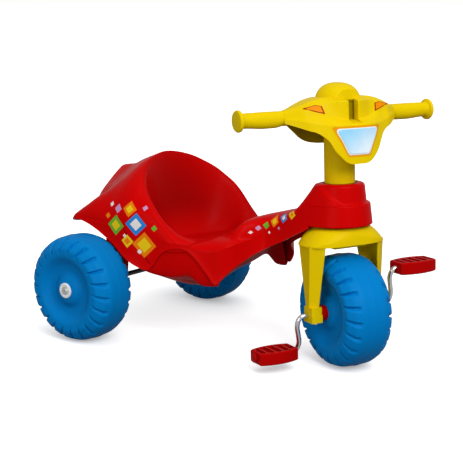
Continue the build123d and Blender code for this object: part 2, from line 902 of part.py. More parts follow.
def pedal(side):
    """A barrel-shaped pedal block with ribbed pockets above and below."""
    half_length = pedal_length / 2
    half_end = pedal_end_width / 2
    half_middle = pedal_middle_width / 2
    front = ThreePointArc((half_end, -half_length), (half_middle, 0), (half_end, half_length))
    back = ThreePointArc((-half_end, half_length), (-half_middle, 0), (-half_end, -half_length))
    ends = [
        Line((half_end, half_length), (-half_end, half_length)),
        Line((-half_end, -half_length), (half_end, -half_length)),
    ]
    outline = make_face(Curve() + [front, back] + ends)
    block = extrude(outline, amount=pedal_height / 2, both=True)
    levels = block.faces().sort_by(Axis.Z)
    block = chamfer(levels[-1].edges() + levels[0].edges(), pedal_edge)
    pocket_face = offset(outline, amount=-pedal_pocket_margin, kind=Kind.INTERSECTION)
    pocket = extrude(pocket_face, amount=pedal_pocket_depth)
    pitch = pedal_length / (pedal_rib_count + 1)
    for number in range(pedal_rib_count):
        rib_v = -half_length + (number + 1) * pitch
        rib_span = (rib_v - pedal_rib_width / 2, rib_v + pedal_rib_width / 2)
        pocket = pocket - slab((-pedal_middle_width, pedal_middle_width), rib_span, (0, pedal_pocket_depth))
    top = Pos(0, 0, pedal_height / 2 - pedal_pocket_depth) * pocket
    low = Pos(0, 0, -pedal_height / 2) * pocket
    block = block - top - low - rod(crank_rod_radius + running_gap, -pedal_length, pedal_length)
    return pedal_place(side) * block


def pedal_push_nuts():
    """The cup-shaped push nuts on the crank's ends."""
    nuts = []
    for side in sides.values():
        start = side * (pedal_length / 2 + side_gap)
        hole_end = start + side * (push_nut_width - push_nut_wall)
        nut = rod(push_nut_radius, start, start + side * push_nut_width)
        nut = nut - rod(crank_rod_radius + seat_gap, start - side * spare, hole_end)
        nuts.append(pedal_place(side) * nut)
    return nuts


def fairing_front():
    """The handlebar fairing seen from the front, v across and w up."""
    half = [
        (nose_low_w, 0),
        (nose_low_w, nose_flat_half_width),
        (cheek_low_w, cheek_low_v),
        (cheek_high_w, cheek_high_v),
        (wing_end_low_w, wing_corner_v),
        (wing_corner_w, wing_end_v),
        (wing_end_high_w, wing_end_v),
        (wing_crest_w - spare, wing_crest_v),
        (wing_crest_w, crest_flat_v),
        (wing_crest_w, 0),
    ]
    face = mirrored_face(half, front_rounding)
    return Plane(origin=(0, 0, 0), x_dir=(0, 0, 1), z_dir=(1, 0, 0)) * face


def fairing_side(inset):
    """The handlebar fairing from the side, u across and w up; an inset one is the hollow, open below."""
    top = [
        (wing_back_u, fairing_low_back_w + back_wall_height),
        (wing_back_u + back_slope, wing_crest_w - back_slope_drop),
        (0, wing_crest_w),
        (recess_back_u, wing_crest_w - crest_front_drop),
        (brow_u, brow_w),
        (nose_front_u - nose_lean, nose_low_w + nose_lip),
    ]
    if inset:
        low = [(nose_front_u - nose_lean, 0), (wing_back_u, 0)]
        face = closed_face(top + low, side_top_rounding[:-1] + [0, 0, 0])
        face = offset(face, amount=-inset, kind=Kind.INTERSECTION)
    else:
        low = [
            (nose_front_u - nose_bevel, nose_low_w),
            (nose_back_u, nose_low_w),
            (belly_front_u, belly_front_w),
            (0, fairing_low_back_w - belly_drop),
            (wing_back_u, fairing_low_back_w),
        ]
        face = closed_face(top + low, side_top_rounding + side_low_rounding)
    return Plane.XZ * face


def fairing_plan(inset):
    """The handlebar fairing from above, drawn in by inset."""
    half = [
        (wing_back_u, 0),
        (wing_back_u, wing_back_flat_v),
        (wing_tip_back_u, wing_tip_v),
        (wing_tip_front_u, wing_tip_v),
        (wing_front_u, wing_front_v),
        (brow_corner_u, brow_half_width),
        (nose_front_u, nose_half_width),
        (nose_front_u, 0),
    ]
    face = mirrored_face(half, fairing_plan_rounding)
    if inset:
        face = offset(face, amount=-inset, kind=Kind.INTERSECTION)
    return face


def fairing_block():
    """The fairing as the common part of its three views."""
    front = extrude(fairing_front(), amount=2 * wing_end_v, both=True)
    side = extrude(fairing_side(0), amount=2 * wing_end_v, both=True)
    plan = extrude(fairing_plan(0), amount=2 * wing_crest_w)
    return front & side & plan


def fairing_hollow():
    """The fairing's hollow, open below and behind the nose."""
    side = extrude(fairing_side(fairing_wall), amount=2 * wing_end_v, both=True)
    plan = extrude(fairing_plan(fairing_wall), amount=2 * wing_crest_w)
    return side & plan


def dome():
    """The rounded hood on top of the fairing, with a flat front facet."""
    arc = ThreePointArc(
        (0, dome_top_w),
        (dome_radius * dome_side_share, dome_base_w + (dome_top_w - dome_base_w) * dome_side_height_share),
        (dome_radius, dome_base_w),
    )
    sides_of_face = Polyline((dome_radius, dome_base_w), (0, dome_base_w), (0, dome_top_w))
    body = revolve(Plane.XZ * make_face(Curve() + [arc, sides_of_face]), axis=Axis.Z)
    body = Pos(dome_u, 0, 0) * body
    far = 3 * dome_radius
    return body - slab((dome_facet_u, far), (-far, far), (0, 2 * dome_top_w))


def dome_recess():
    """The notch in the fairing in front of the dome, with an upright slot in its back wall."""
    points = [
        (-recess_low_half_width, recess_low_w),
        (recess_low_half_width, recess_low_w),
        (recess_high_half_width, dome_top_w),
        (-recess_high_half_width, dome_top_w),
    ]
    face = Plane.YZ * make_face(Polyline(*points, close=True))
    notch = Pos(recess_back_u, 0, 0) * extrude(face, amount=nose_front_u)
    slot_w = (recess_low_w, dome_base_w + slot_above_dome_base)
    slot_u = (recess_back_u - slot_depth, recess_back_u + spare)
    slot = slab(slot_u, (-slot_half_width, slot_half_width), slot_w)
    return notch, slot


def lamp_plane():
    """The plane of the headlight, on the nose's sloping front."""
    top = Vector(brow_u, 0, brow_w)
    low = Vector(nose_front_u - nose_lean, 0, nose_low_w + nose_lip)
    down = (low - top).normalized()
    normal = Vector(-down.Z, 0, down.X)
    middle = (top + low) * 0.5
    return Plane(origin=middle, x_dir=(0, 1, 0), z_dir=normal)


def lamp_panel(gap, depth):
    """The headlight panel's slab; gap widens it for its pocket."""
    half_height = lamp_height / 2
    points = [
        (-lamp_low_half_width, -half_height),
        (lamp_low_half_width, -half_height),
        (lamp_top_half_width, half_height),
        (-lamp_top_half_width, half_height),
    ]
    plane = lamp_plane()
    if plane.y_dir.Z < 0:
        points = [(a, -b) for a, b in points]
    face = closed_face(points, lamp_corner_radius)
    if gap:
        face = offset(face, amount=gap)
    return extrude(plane * face, amount=depth)


def headlight():
    """The headlight panel, let into the nose and standing slightly proud."""
    slide = lamp_plane().z_dir * (label_proud - label_thickness)
    return Pos(slide) * lamp_panel(0, label_thickness)


def headlight_pocket():
    """The pocket for the headlight panel."""
    slide = lamp_plane().z_dir * (label_proud - label_thickness)
    return Pos(slide) * lamp_panel(seat_gap, pocket_depth)


def indicator_plane():
    """The plane of the indicators, on the slope between the recess and the brow."""
    top = Vector(recess_back_u, 0, wing_crest_w - crest_front_drop)
    low = Vector(brow_u, 0, brow_w)
    down = (low - top).normalized()
    normal = Vector(-down.Z, 0, down.X)
    return Plane(origin=top + (low - top) * indicator_slope_share, x_dir=(0, 1, 0), z_dir=normal)


def indicator_panel(side, gap, depth):
    """A triangular indicator panel, pointing outwards."""
    inner = side * (indicator_v - indicator_length / 2)
    outer = side * (indicator_v + indicator_length / 2)
    half = indicator_height / 2
    points = [(inner, -half), (outer, 0), (inner, half)]
    plane = indicator_plane()
    face = closed_face(points, indicator_corner_radius)
    if gap:
        face = offset(face, amount=gap)
    slide = plane.z_dir * (label_proud - label_thickness)
    return Pos(slide) * extrude(plane * face, amount=depth)


def handlebar():
    """Fairing, grips, dome and column socket in one moulding."""
    notch, slot = dome_recess()
    shell = fairing_block() - notch + dome()
    shell = shell - fairing_hollow()
    back_plate = slab(
        (recess_back_u - fairing_wall, recess_back_u),
        (-recess_high_half_width, recess_high_half_width),
        (recess_low_w - fairing_wall, wing_crest_w - recess_plate_drop),
    )
    floor_plate = slab(
        (recess_back_u - fairing_wall, brow_u - recess_floor_setback),
        (-recess_high_half_width, recess_high_half_width),
        (recess_low_w - fairing_wall, recess_low_w),
    )
    inside = fairing_block()
    shell = shell + (back_plate & inside) + (floor_plate & inside)
    socket_top = column_top_w + fairing_wall
    socket = post(column_radius + socket_wall, socket_low_w, socket_top)
    core = post(dome_radius - dome_core_margin, socket_top - fairing_wall, dome_base_w + dome_core_margin)
    shell = shell + socket + core
    for side in sides.values():
        grip = rod(grip_radius, side * (wing_end_v - grip_root), side * (grip_end_v + spare))
        flange = rod(grip_flange_radius, side * grip_end_v, side * (grip_end_v + grip_flange_width))
        shell = shell + Pos(grip_u, 0, grip_w) * (grip + flange)
    shell = shell - post(column_radius + seat_gap, socket_low_w - spare, column_top_w + side_gap)
    shell = shell - slot - bolt_hole() - headlight_pocket()
    for side in sides.values():
        shell = shell - indicator_panel(side, seat_gap, pocket_depth)
    return shell


def chassis_nodes():
    """Everything that stays with the seat."""
    nodes = {"seat_body": seat_body(), "rear_axle": rear_axle()}
    nodes["upper_head_bush"] = steering_frame.location * upper_head_bush()
    nodes["lower_head_bush"] = steering_frame.location * lower_head_bush()
    for name, side in sides.items():
        nodes["axle_clip_" + name] = axle_clip(side)
        nodes["rear_wheel_" + name] = rear_wheel(side)
        nodes["rear_hub_bushes_" + name] = rear_bushes(side)
    nodes["axle_clip_screws"] = axle_clip_screws()
    nodes["axle_stop_rings"] = stop_rings()
    nodes["rear_hub_washers"] = hub_washers()
    nodes["axle_end_caps"] = axle_caps()
    return nodes


def front_nodes():
    """Everything that turns with the handlebar, in the steering frame."""
    nodes = {
        "fork": fork(),
        "fork_shoe_screws": fork_shoe_screws(),
        "steering_column": steering_column(),
        "handlebar": handlebar(),
        "handlebar_bolt": handlebar_bolt(),
        "handlebar_nut": handlebar_nut(),
        "headlight_panel": headlight(),
        "front_wheel": front_wheel(),
        "pedal_crank": pedal_crank(),
        "crank_drive_pin": drive_pin_form(drive_pin_radius),
        "pedal_push_nuts": pedal_push_nuts(),
    }
    for name, side in sides.items():
        nodes["fork_shoe_" + name] = fork_shoe(side)
        nodes["drive_boss_" + name] = drive_boss(side)
        nodes["pedal_" + name] = pedal(side)
        nodes["indicator_" + name] = indicator_panel(side, 0, label_thickness)
    return nodes


def write_node(name, shape, place):
    """Put one node in its place and write it; a list becomes a group of separate solids."""
    pieces = shape if isinstance(shape, list) else [shape]
    placed = [place * piece for piece in pieces]
    whole = placed[0] if len(placed) == 1 else Compound(children=placed)
    export_step(whole, os.path.join("parts", name + ".step"))


def main():
    """Build every node and write its file."""
    os.makedirs("parts", exist_ok=True)
    for name, shape in chassis_nodes().items():
        write_node(name, shape, rest_place)
    for name, shape in front_nodes().items():
        write_node(name, shape, front_place)


main()
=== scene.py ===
# %% [markdown]
# # A children's tricycle
# The real object is a toy of three hollow plastic wheels, one red bucket seat and a yellow handlebar.
# This lesson dresses its CAD frame in Blender: every new piece is a surface worked out with numpy,
# and every finish is a small recipe of shader nodes.
# The frame comes first, because each piece has to sit on it and move with one of its bodies.

# %% Load the frame
import json
import math

import bmesh
import bpy
import numpy as np
from mathutils import Matrix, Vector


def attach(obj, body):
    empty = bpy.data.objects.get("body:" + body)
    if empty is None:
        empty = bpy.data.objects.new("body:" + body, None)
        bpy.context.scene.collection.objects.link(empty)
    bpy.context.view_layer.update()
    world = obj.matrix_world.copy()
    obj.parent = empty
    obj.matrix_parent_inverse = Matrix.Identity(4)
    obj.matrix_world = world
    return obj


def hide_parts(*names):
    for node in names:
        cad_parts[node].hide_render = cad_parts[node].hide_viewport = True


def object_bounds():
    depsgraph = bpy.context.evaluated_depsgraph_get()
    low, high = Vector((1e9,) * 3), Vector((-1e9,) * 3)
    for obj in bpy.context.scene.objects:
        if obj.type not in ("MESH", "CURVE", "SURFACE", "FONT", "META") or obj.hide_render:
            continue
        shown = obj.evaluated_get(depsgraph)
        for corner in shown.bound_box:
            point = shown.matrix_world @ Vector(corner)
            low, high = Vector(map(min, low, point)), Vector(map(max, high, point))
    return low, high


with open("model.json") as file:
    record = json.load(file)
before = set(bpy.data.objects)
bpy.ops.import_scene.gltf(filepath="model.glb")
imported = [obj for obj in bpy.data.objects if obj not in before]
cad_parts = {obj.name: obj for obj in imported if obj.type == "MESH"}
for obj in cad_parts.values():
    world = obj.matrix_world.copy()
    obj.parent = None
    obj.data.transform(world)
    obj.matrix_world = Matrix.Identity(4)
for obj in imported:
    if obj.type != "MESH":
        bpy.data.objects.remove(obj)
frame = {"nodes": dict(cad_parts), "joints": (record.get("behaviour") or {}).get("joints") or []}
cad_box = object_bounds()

print("CAD nodes:", len(frame["nodes"]))

# %% [markdown]
# Two sets of axes are enough for the whole toy. Pieces of the seat are drawn in millimetres forwards of
# the rear axle, left of the middle and above the floor. Pieces of the front are drawn along the steering
# axis: ahead, left and up from the top of the fork crown. Both are read from the frame's own joints,
# so that they stay right if the frame is built again with other sizes.

# %% Axes of the seat and of the steering
MM = 0.001
joints = {joint["name"]: joint for joint in frame["joints"]}
rear_axle = np.array(joints["right_rear_wheel_spin"]["pos_m"])
front_hub = np.array(joints["front_wheel_spin"]["pos_m"])
steer_top = np.array(joints["steering_turn"]["pos_m"])
steer_up = np.array(joints["steering_turn"]["axis"])
steer_left = np.array(joints["front_wheel_spin"]["axis"])
steer_ahead = np.cross(steer_left, steer_up)
straight_left = np.array((0.0, 1.0, 0.0))
straight_ahead = np.cross(straight_left, steer_up)


def placed(origin, ahead, left, up):
    """Gives a function that turns millimetres along three axes into scene points, in metres."""

    def place(a, b, c):
        a, b, c = np.broadcast_arrays(a, b, c)
        return origin + MM * (a[..., None] * ahead + b[..., None] * left + c[..., None] * up)

    return place


on_seat = placed(np.array((rear_axle[0], 0, 0)), *np.eye(3))
on_head = placed(steer_top, straight_ahead, straight_left, steer_up)
on_steering = placed(steer_top, steer_ahead, steer_left, steer_up)
hub_ahead, hub_up = (front_hub - steer_top) @ np.array((steer_ahead, steer_up)).T / MM
print("front hub, ahead and up from the crown:", round(hub_ahead, 1), round(hub_up, 1))

# %% [markdown]
# Most outlines of a moulded toy are easy to give by a few points that they pass through.
# A few helpers turn such points into arrays: a smooth curve, a circle, a smooth step, a polygon whose corners
# become arcs, and the same line with even spacing. A spline object could do this too, but arrays can be
# added and mixed.


# %% Curves as arrays
def through(table, places):
    """Smooth curve through a table of place: value, a cubic between each two, sloped like its neighbours."""
    knots = np.array(list(table), float)
    values = np.array(list(table.values()), float)
    slopes = np.gradient(values, knots)
    places = np.clip(places, knots[0], knots[-1])
    i = np.clip(np.searchsorted(knots, places, side="right") - 1, 0, len(knots) - 2)
    gap = knots[i + 1] - knots[i]
    t = (places - knots[i]) / gap
    start = values[i] * (1 + 2 * t) + gap * slopes[i] * t
    end = values[i + 1] * (3 - 2 * t) + gap * slopes[i + 1] * (t - 1)
    return start * (1 - t) ** 2 + end * t**2


def full_turn(count):
    """Angles of count points all round a circle."""
    return np.linspace(0, 2 * np.pi, count, endpoint=False)


def smooth_step(start, end, value):
    """0 before start, 1 after end, and three t squared less two t cubed between them."""
    t = np.clip((value - start) / (end - start), 0, 1)
    return t * t * (3 - 2 * t)


def rounded(points, radii, closed=True, steps=6):
    """A polygon with arcs for corners, each centred on its corner's bisector, radius / sin(half) away."""
    points = np.array(points, float)
    radii = np.broadcast_to(np.array(radii, float), len(points))
    pieces = []
    for k in range(len(points)):
        corner = points[k]
        if radii[k] == 0 or (not closed and k in (0, len(points) - 1)):
            pieces.append(corner[None])
            continue
        before = points[k - 1] - corner
        after = points[(k + 1) % len(points)] - corner
        before = before / np.linalg.norm(before)
        after = after / np.linalg.norm(after)
        half = np.arccos(np.clip(before @ after, -1, 1)) / 2
        bisector = (before + after) / np.linalg.norm(before + after)
        centre = corner + bisector * radii[k] / np.sin(half)
        touch = radii[k] / np.tan(half)
        first = corner + before * touch - centre
        last = corner + after * touch - centre
        turn = np.pi - 2 * half
        t = np.linspace(0, 1, steps)[:, None]
        arc = np.sin((1 - t) * turn) * first + np.sin(t * turn) * last
        pieces.append(centre + arc / np.sin(turn))
    return np.concatenate(pieces)


def spaced(points, count):
    """The same line with count points an equal length apart, and the length run at each of them."""
    lengths = np.linalg.norm(np.diff(points, axis=0), axis=1)
    run = np.concatenate([[0], np.cumsum(lengths)])
    places = np.linspace(0, run[-1], count)
    return np.stack([np.interp(places, run, column) for column in points.T], -1), places


print("points of a square with round corners:", len(rounded([(0, 0), (9, 0), (9, 9), (0, 9)], 2)))

# %% [markdown]
# A surface is a grid of points, and its faces are the quads between neighbours. One maker turns such
# grids into a finished piece: it welds seams and poles, turns the faces outwards, shades them smoothly
# apart from sharp edges, and hands the piece to its body. Doing this in one place keeps all pieces alike.
# Three helpers make the grids that are needed most often: a wall with two skins, a loft and a turned outline.

# %% Grids into pieces
WELD_DISTANCE = 2e-6


def grid_quads(rows, columns, wrap_rows, wrap_columns):
    """Corner numbers of the quads of a grid; a wrapped direction also joins its last line to its first."""
    row = np.arange(rows - (not wrap_rows))[:, None]
    column = np.arange(columns - (not wrap_columns))[None, :]
    next_row = (row + 1) % rows
    next_column = (column + 1) % columns
    corners = (
        row * columns + column,
        row * columns + next_column,
        next_row * columns + next_column,
        next_row * columns + column,
    )
    return np.stack(np.broadcast_arrays(*corners), -1).reshape(-1, 4)


def make_piece(name, body, material, surfaces, nodes=(), crease=38.0):
    """Makes one object of several grids, each given as (points, wrap rows, wrap columns)."""
    points = []
    quads = []
    count = 0
    for grid, wrap_rows, wrap_columns in surfaces:
        rows, columns = grid.shape[:2]
        points.append(grid.reshape(-1, 3))
        quads.append(grid_quads(rows, columns, wrap_rows, wrap_columns) + count)
        count += rows * columns
    mesh = bpy.data.meshes.new(name)
    mesh.from_pydata(np.concatenate(points), [], np.concatenate(quads))
    mesh.validate()
    welded = bmesh.new()
    welded.from_mesh(mesh)
    bmesh.ops.remove_doubles(welded, verts=welded.verts, dist=WELD_DISTANCE)
    bmesh.ops.recalc_face_normals(welded, faces=welded.faces)
    welded.to_mesh(mesh)
    welded.free()
    mesh.shade_smooth()
    mesh.set_sharp_from_angle(angle=math.radians(crease))
    mesh.materials.append(material)
    piece = bpy.data.objects.new(name, mesh)
    bpy.context.scene.collection.objects.link(piece)
    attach(piece, body)
    if nodes:
        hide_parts(*nodes)
    print(name, "has", len(mesh.polygons), "faces")


print("quads of a grid of 4 by 5 points:", len(grid_quads(4, 5, False, False)))


# %% Walls, lofts and turned outlines
def shell(outer, inner):
    """A thick wall between two grids of one size: both skins joined at their hems and at both ends."""
    loop = np.concatenate([outer, inner[:, ::-1]], 1)
    ends = [(np.stack([outer[k], inner[k]]), False, False) for k in (0, -1)]
    return [(loop, False, True)] + ends


def loft(outline, sizes, heights, place):
    """Rings of one outline, each drawn to its size at its height; a size of nearly 0 closes an end."""
    rings = outline[None] * np.array(sizes, float)[:, None, None]
    return place(rings[..., 0], rings[..., 1], np.array(heights, float)[:, None]), False, True


def lathe(profile, place, count=96):
    """A closed (radius, height) outline turned round the third axis of place."""
    angle = full_turn(count)[:, None]
    radius = profile[None, :, 0]
    return place(radius * np.cos(angle), radius * np.sin(angle), profile[None, :, 1]), True, True


print("points of a turned square:", lathe(np.eye(4, 2), on_seat)[0].shape[:2])

# %% [markdown]
# Finishes are written as arithmetic. A Wire holds one shader socket, and adding or multiplying wires adds
# Math nodes behind the scenes, so a mask reads like a formula. One method adds every other kind of node.
# The node editor would give the same graph, but a formula is easier to read, repeat and correct.
# Every material starts with its coordinates and ends in one Principled shader.


# %% Shader arithmetic
def joined_by(operation):
    """A method of Wire that joins it to another wire or to a number by one Math node."""
    return lambda self, other: self.math(operation, other)


class Wire:
    """A shader socket that does arithmetic; an expression of wires adds one Math node for each sign."""

    def __init__(self, tree, socket=None):
        self.tree = tree
        self.socket = socket

    def node(self, kind, settings=(), sockets=(), output=0):
        """Adds a node: first its settings, then the values or links of its sockets; gives one output."""
        made = self.tree.nodes.new(kind)
        for name, value in dict(settings).items():
            setattr(made, name, value)
        for name, value in dict(sockets).items():
            if isinstance(value, Wire):
                self.tree.links.new(value.socket, made.inputs[name])
            else:
                made.inputs[name].default_value = value
        if not made.outputs:
            return None
        return Wire(self.tree, made.outputs[output])

    def math(self, operation, *others):
        """One Math node on this wire and further values."""
        return self.node("ShaderNodeMath", {"operation": operation}, enumerate((self, *others)))

    __add__ = __radd__ = joined_by("ADD")
    __mul__ = __rmul__ = joined_by("MULTIPLY")
    __sub__ = joined_by("SUBTRACT")
    __truediv__ = joined_by("DIVIDE")
    __lt__ = joined_by("LESS_THAN")
    __gt__ = joined_by("GREATER_THAN")
    most = joined_by("MAXIMUM")
    least = joined_by("MINIMUM")

    def __rsub__(self, other):
        return (self * -1) + other

    def __abs__(self):
        return self.math("ABSOLUTE")

    def fade(self, start, end):
        """0 at start, 1 at end and smooth between."""
        settings = {"interpolation_type": "SMOOTHSTEP"}
        return self.node("ShaderNodeMapRange", settings, {"Value": self, "From Min": start, "From Max": end})

    def noise(self, scale, detail=2.0):
        """Cloudy values from 0 to 1 over a vector wire; scale counts clouds to the metre."""
        return self.node("ShaderNodeTexNoise", (), {"Vector": self, "Scale": scale, "Detail": detail})

    def parts(self):
        """The three numbers of a vector wire."""
        split = self.node("ShaderNodeSeparateXYZ", (), {0: self}).socket.node
        return [Wire(self.tree, output) for output in split.outputs]

    def blend(self, low, high):
        """Mixes two colours by this wire: low at 0 and high at 1."""
        sockets = {"Factor": self, 6: low, 7: high}
        return self.node("ShaderNodeMix", {"data_type": "RGBA"}, sockets, 2)


print("a wire can:", [name for name in vars(Wire) if not name.startswith("_")])


# %% Start and end of a material
def start_material(name):
    """An empty node material, and a wire with the object's own coordinates in metres."""
    material = bpy.data.materials.new(name)
    material.use_nodes = True
    material.node_tree.nodes.clear()
    here = Wire(material.node_tree).node("ShaderNodeTexCoord", (), (), "Object")
    return material, here


def end_material(here, colour, roughness, height=None, depth=0.0, **uniform):
    """Joins colour, roughness and a bump of the given depth to a Principled shader."""
    sockets = {"Base Color": colour, "Roughness": roughness}
    for name, value in uniform.items():
        sockets[name.replace("_", " ")] = value
    if height is not None:
        sockets["Normal"] = here.node("ShaderNodeBump", (), {"Distance": depth, "Height": height}, "Normal")
    shader = here.node("ShaderNodeBsdfPrincipled", (), sockets)
    here.node("ShaderNodeOutputMaterial", (), {"Surface": shader})


def shade_of(colour, factor):
    """A darker or lighter copy of a linear colour."""
    return tuple(min(1.0, channel * factor) for channel in colour[:3]) + (1.0,)


print("half as bright as white:", shade_of((1, 1, 1, 1), 0.5))

# %% [markdown]
# The toy is blow-moulded polyethylene: strongly coloured, half glossy, with a very fine texture from the
# mould, slow changes of tone where the wall thickens, and faint rubbed patches. One recipe makes all
# plastics and takes extra paint as a function, so that stickers can be laid on the same ground.

# %% Moulded plastic
RED = (0.58, 0.0004, 0.0004, 1.0)
DARK_RED = (0.44, 0.0006, 0.0006, 1.0)
YELLOW = (0.77, 0.55, 0.0008, 1.0)
BLUE = (0.0004, 0.20, 0.56, 1.0)
WHITE = (0.86, 0.86, 0.86, 1.0)
BLACK = (0.02, 0.02, 0.02, 1.0)
DRIFT_SCALE = 11.0
DRIFT_TONES = (0.94, 1.05)
RUB_SCALE = 70.0
RUB_GLOSS = 0.16
GRAIN_SCALE = 1400.0
GRAIN_DEPTH = 0.00004
PLASTIC_SHINE = 0.03


def moulded_plastic(name, colour, gloss=0.36, paint=None):
    """Plastic whose tone drifts slowly, whose gloss is rubbed in patches and whose skin has a fine grain."""
    material, here = start_material(name)
    rubbed = here.noise(RUB_SCALE, detail=4.0)
    grain = here.noise(GRAIN_SCALE, detail=1.0)
    tone = here.noise(DRIFT_SCALE).blend(*[shade_of(colour, share) for share in DRIFT_TONES])
    rough = rubbed * RUB_GLOSS + (gloss - RUB_GLOSS / 2)
    if paint:
        tone, rough = paint(here, tone, rough)
    end_material(here, tone, rough, grain, GRAIN_DEPTH, Specular_IOR_Level=PLASTIC_SHINE)
    return material


yellow_plastic = moulded_plastic("yellow_plastic", YELLOW)
blue_plastic = moulded_plastic("blue_plastic", BLUE, gloss=0.42)
white_plastic = moulded_plastic("white_plastic", WHITE, gloss=0.3)
black_plastic = moulded_plastic("black_plastic", BLACK, gloss=0.45)
pedal_red = moulded_plastic("pedal_red", DARK_RED, gloss=0.34)
print("plain plastics ready")

# %% [markdown]
# The red body carries stickers on each side and on the neck, a scatter of diamonds in bright colours.
# A sticker could be a picture on a plane, but a diamond is only a sum of two distances, so it is drawn by
# arithmetic on the piece's own coordinates, on both sides at once. A thin dark line of painted shade along
# the fender's fold and painted shade on the upper walls of the seat bowl are drawn the same way.

# %% Stickers
STICKER_COLOURS = {
    "orange": (0.80, 0.20, 0.004, 1.0),
    "blue": (0.02, 0.22, 0.62, 1.0),
    "green": (0.13, 0.42, 0.03, 1.0),
    "yellow": (0.80, 0.55, 0.01, 1.0),
    "lilac": (0.55, 0.28, 0.50, 1.0),
    "white": (0.80, 0.74, 0.72, 1.0),
}
fender_stickers = [
    (64, 262, 9, "lilac"), (92, 264, 15, "orange"), (92, 264, 8, "yellow"), (62, 230, 20, "green"),
    (62, 230, 11, "yellow"), (108, 236, 22, "blue"), (108, 236, 12, "white"), (90, 202, 13, "yellow"),
    (90, 202, 7, "orange"), (126, 198, 25, "orange"), (126, 198, 15, "yellow"), (44, 268, 5, "white"),
    (40, 246, 6, "orange"), (84, 212, 4, "white"), (122, 268, 5, "lilac"), (146, 232, 6, "green"),
    (116, 184, 5, "white"),
]
neck_stickers = [
    (352, 258, 11, "orange"), (352, 258, 6, "yellow"), (374, 268, 10, "blue"), (374, 268, 5, "white"),
    (334, 248, 7, "green"), (394, 277, 9, "yellow"), (394, 277, 4, "orange"), (320, 242, 5, "lilac"),
    (310, 234, 3, "white"), (342, 236, 3, "white"), (364, 247, 3, "lilac"),
]
print("stickers:", len(fender_stickers) + len(neck_stickers))

# %% Paint of the seat
STICKER_EDGE = 0.0004
STICKER_GLOSS = 0.04
FENDER_SIDE = (0.118, 0.122)
FENDER_END = 0.2
NECK_START = 0.285
NECK_FACING = 0.4
# Painted shade: a thin dark line along the fender's fold, as in a crease.
FOLD_START = (0.061, 0.246)
FOLD_END = (0.138, 0.163)
FOLD_HALF = 0.0009
FOLD_SHADE = 0.7
FOLD_SHADE_TONE = 0.25
# Painted shade in the seat bowl, deepest in its middle and on its higher walls.
BOWL_MIDDLE = 0.125
BOWL_RISE = (0.19, 0.26)
BOWL_SIZE = (0.092, 0.126)
BOWL_EDGE = (1.05, 0.6)
BOWL_SHADE = 0.55
BOWL_SHADE_TONE = 0.3


def seat_stickers_and_shade_paint(here, tone, rough):
    """Paints shade along the fold and in the bowl, then lays diamonds: |x| + |z| from the middle of one is
    less than its size.
    """
    x, y, z = here.parts()
    x = x - float(rear_axle[0])
    side = abs(y)
    facing = here.node("ShaderNodeTexCoord", (), (), "Normal").parts()[1]
    outwards = facing * y > 0.0
    on_fender = side.fade(*FENDER_SIDE) * (x < FENDER_END) * outwards
    on_neck = (facing * y - side * NECK_FACING > 0.0) * (x > NECK_START)
    # Painted shade: a thin dark line along the fender's fold.
    fold_way = np.array(FOLD_END) - FOLD_START
    fold_length = float(np.hypot(*fold_way))
    fold_way = fold_way / fold_length
    fold_x = x - FOLD_START[0]
    fold_z = z - FOLD_START[1]
    fold_along = fold_x * float(fold_way[0]) + fold_z * float(fold_way[1])
    fold_off = abs(fold_x * float(fold_way[1]) - fold_z * float(fold_way[0]))
    fold_shade_mask = fold_off.fade(2 * FOLD_HALF, FOLD_HALF) * (fold_along > 0) * (fold_along < fold_length) * on_fender
    tone = (fold_shade_mask * FOLD_SHADE).blend(tone, shade_of(RED, FOLD_SHADE_TONE))
    # Painted shade in the bowl: darker towards its middle and higher up its walls.
    bowl_x = (x - BOWL_MIDDLE) / BOWL_SIZE[0]
    bowl_y = y / BOWL_SIZE[1]
    bowl = (bowl_x * bowl_x + bowl_y * bowl_y).math("SQRT").fade(*BOWL_EDGE) * z.fade(*BOWL_RISE)
    tone = (bowl * BOWL_SHADE).blend(tone, shade_of(RED, BOWL_SHADE_TONE))
    for stickers, place in ((fender_stickers, on_fender), (neck_stickers, on_neck)):
        for middle_x, middle_z, size, colour in stickers:
            reach = abs(x - middle_x * MM) + abs(z - middle_z * MM)
            cover = reach.fade(size * MM + STICKER_EDGE, size * MM) * place
            tone = cover.blend(tone, STICKER_COLOURS[colour])
            rough = rough - cover * STICKER_GLOSS
    return tone, rough


red_plastic = moulded_plastic("red_plastic", RED, gloss=0.34, paint=seat_stickers_and_shade_paint)
print("nodes of the seat's paint:", len(red_plastic.node_tree.nodes))

# %% [markdown]
# The headlight is pale blue and whiter towards its foot, in a white border, with a narrow orange line printed
# on the yellow nose around it. The line is drawn by how far a point lies outside the lamp's outline.
# The same paint lays painted shade inside the hollow bar and at the bottom of its slot, where little light
# comes.

# %% Lamp colours
LAMP_TOP = 45.0
LAMP_FOOT = 21.0
LAMP_HIGH = 190.0
LAMP_LOW = 143.0
GLOW_ORANGE = (0.78, 0.31, 0.002, 1.0)
GLOW_ENDS = (0.0045, 0.0024)
GLOW_AHEAD = 0.045
# Painted shade deep in the slot and on the inner faces of the hollow shell.
SLOT_SHADE_HALF = 0.0102
SLOT_SHADE_BACK = 0.036
SLOT_SHADE_FOOT = 0.195
SLOT_SHADE_TOP = 0.238
HOLLOW_SHADE = 0.75
HOLLOW_SHADE_TONE = 0.2
HOLLOW_HALF = 0.1
HOLLOW_TOP = 0.226
HOLLOW_FACING = 0.2
LENS_CLOUDS = 60.0
LENS_GLOSS = 0.1
SLANT_SHARES = (0.5, 0.4, 0.3)
SLANT_ENDS = (-0.6, 0.9)


def along(here, axis, origin):
    """Metres along an axis from an origin, as a wire: the dot product written out."""
    x, y, z = here.parts()
    return x * float(axis[0]) + y * float(axis[1]) + z * float(axis[2]) - float(origin @ axis)


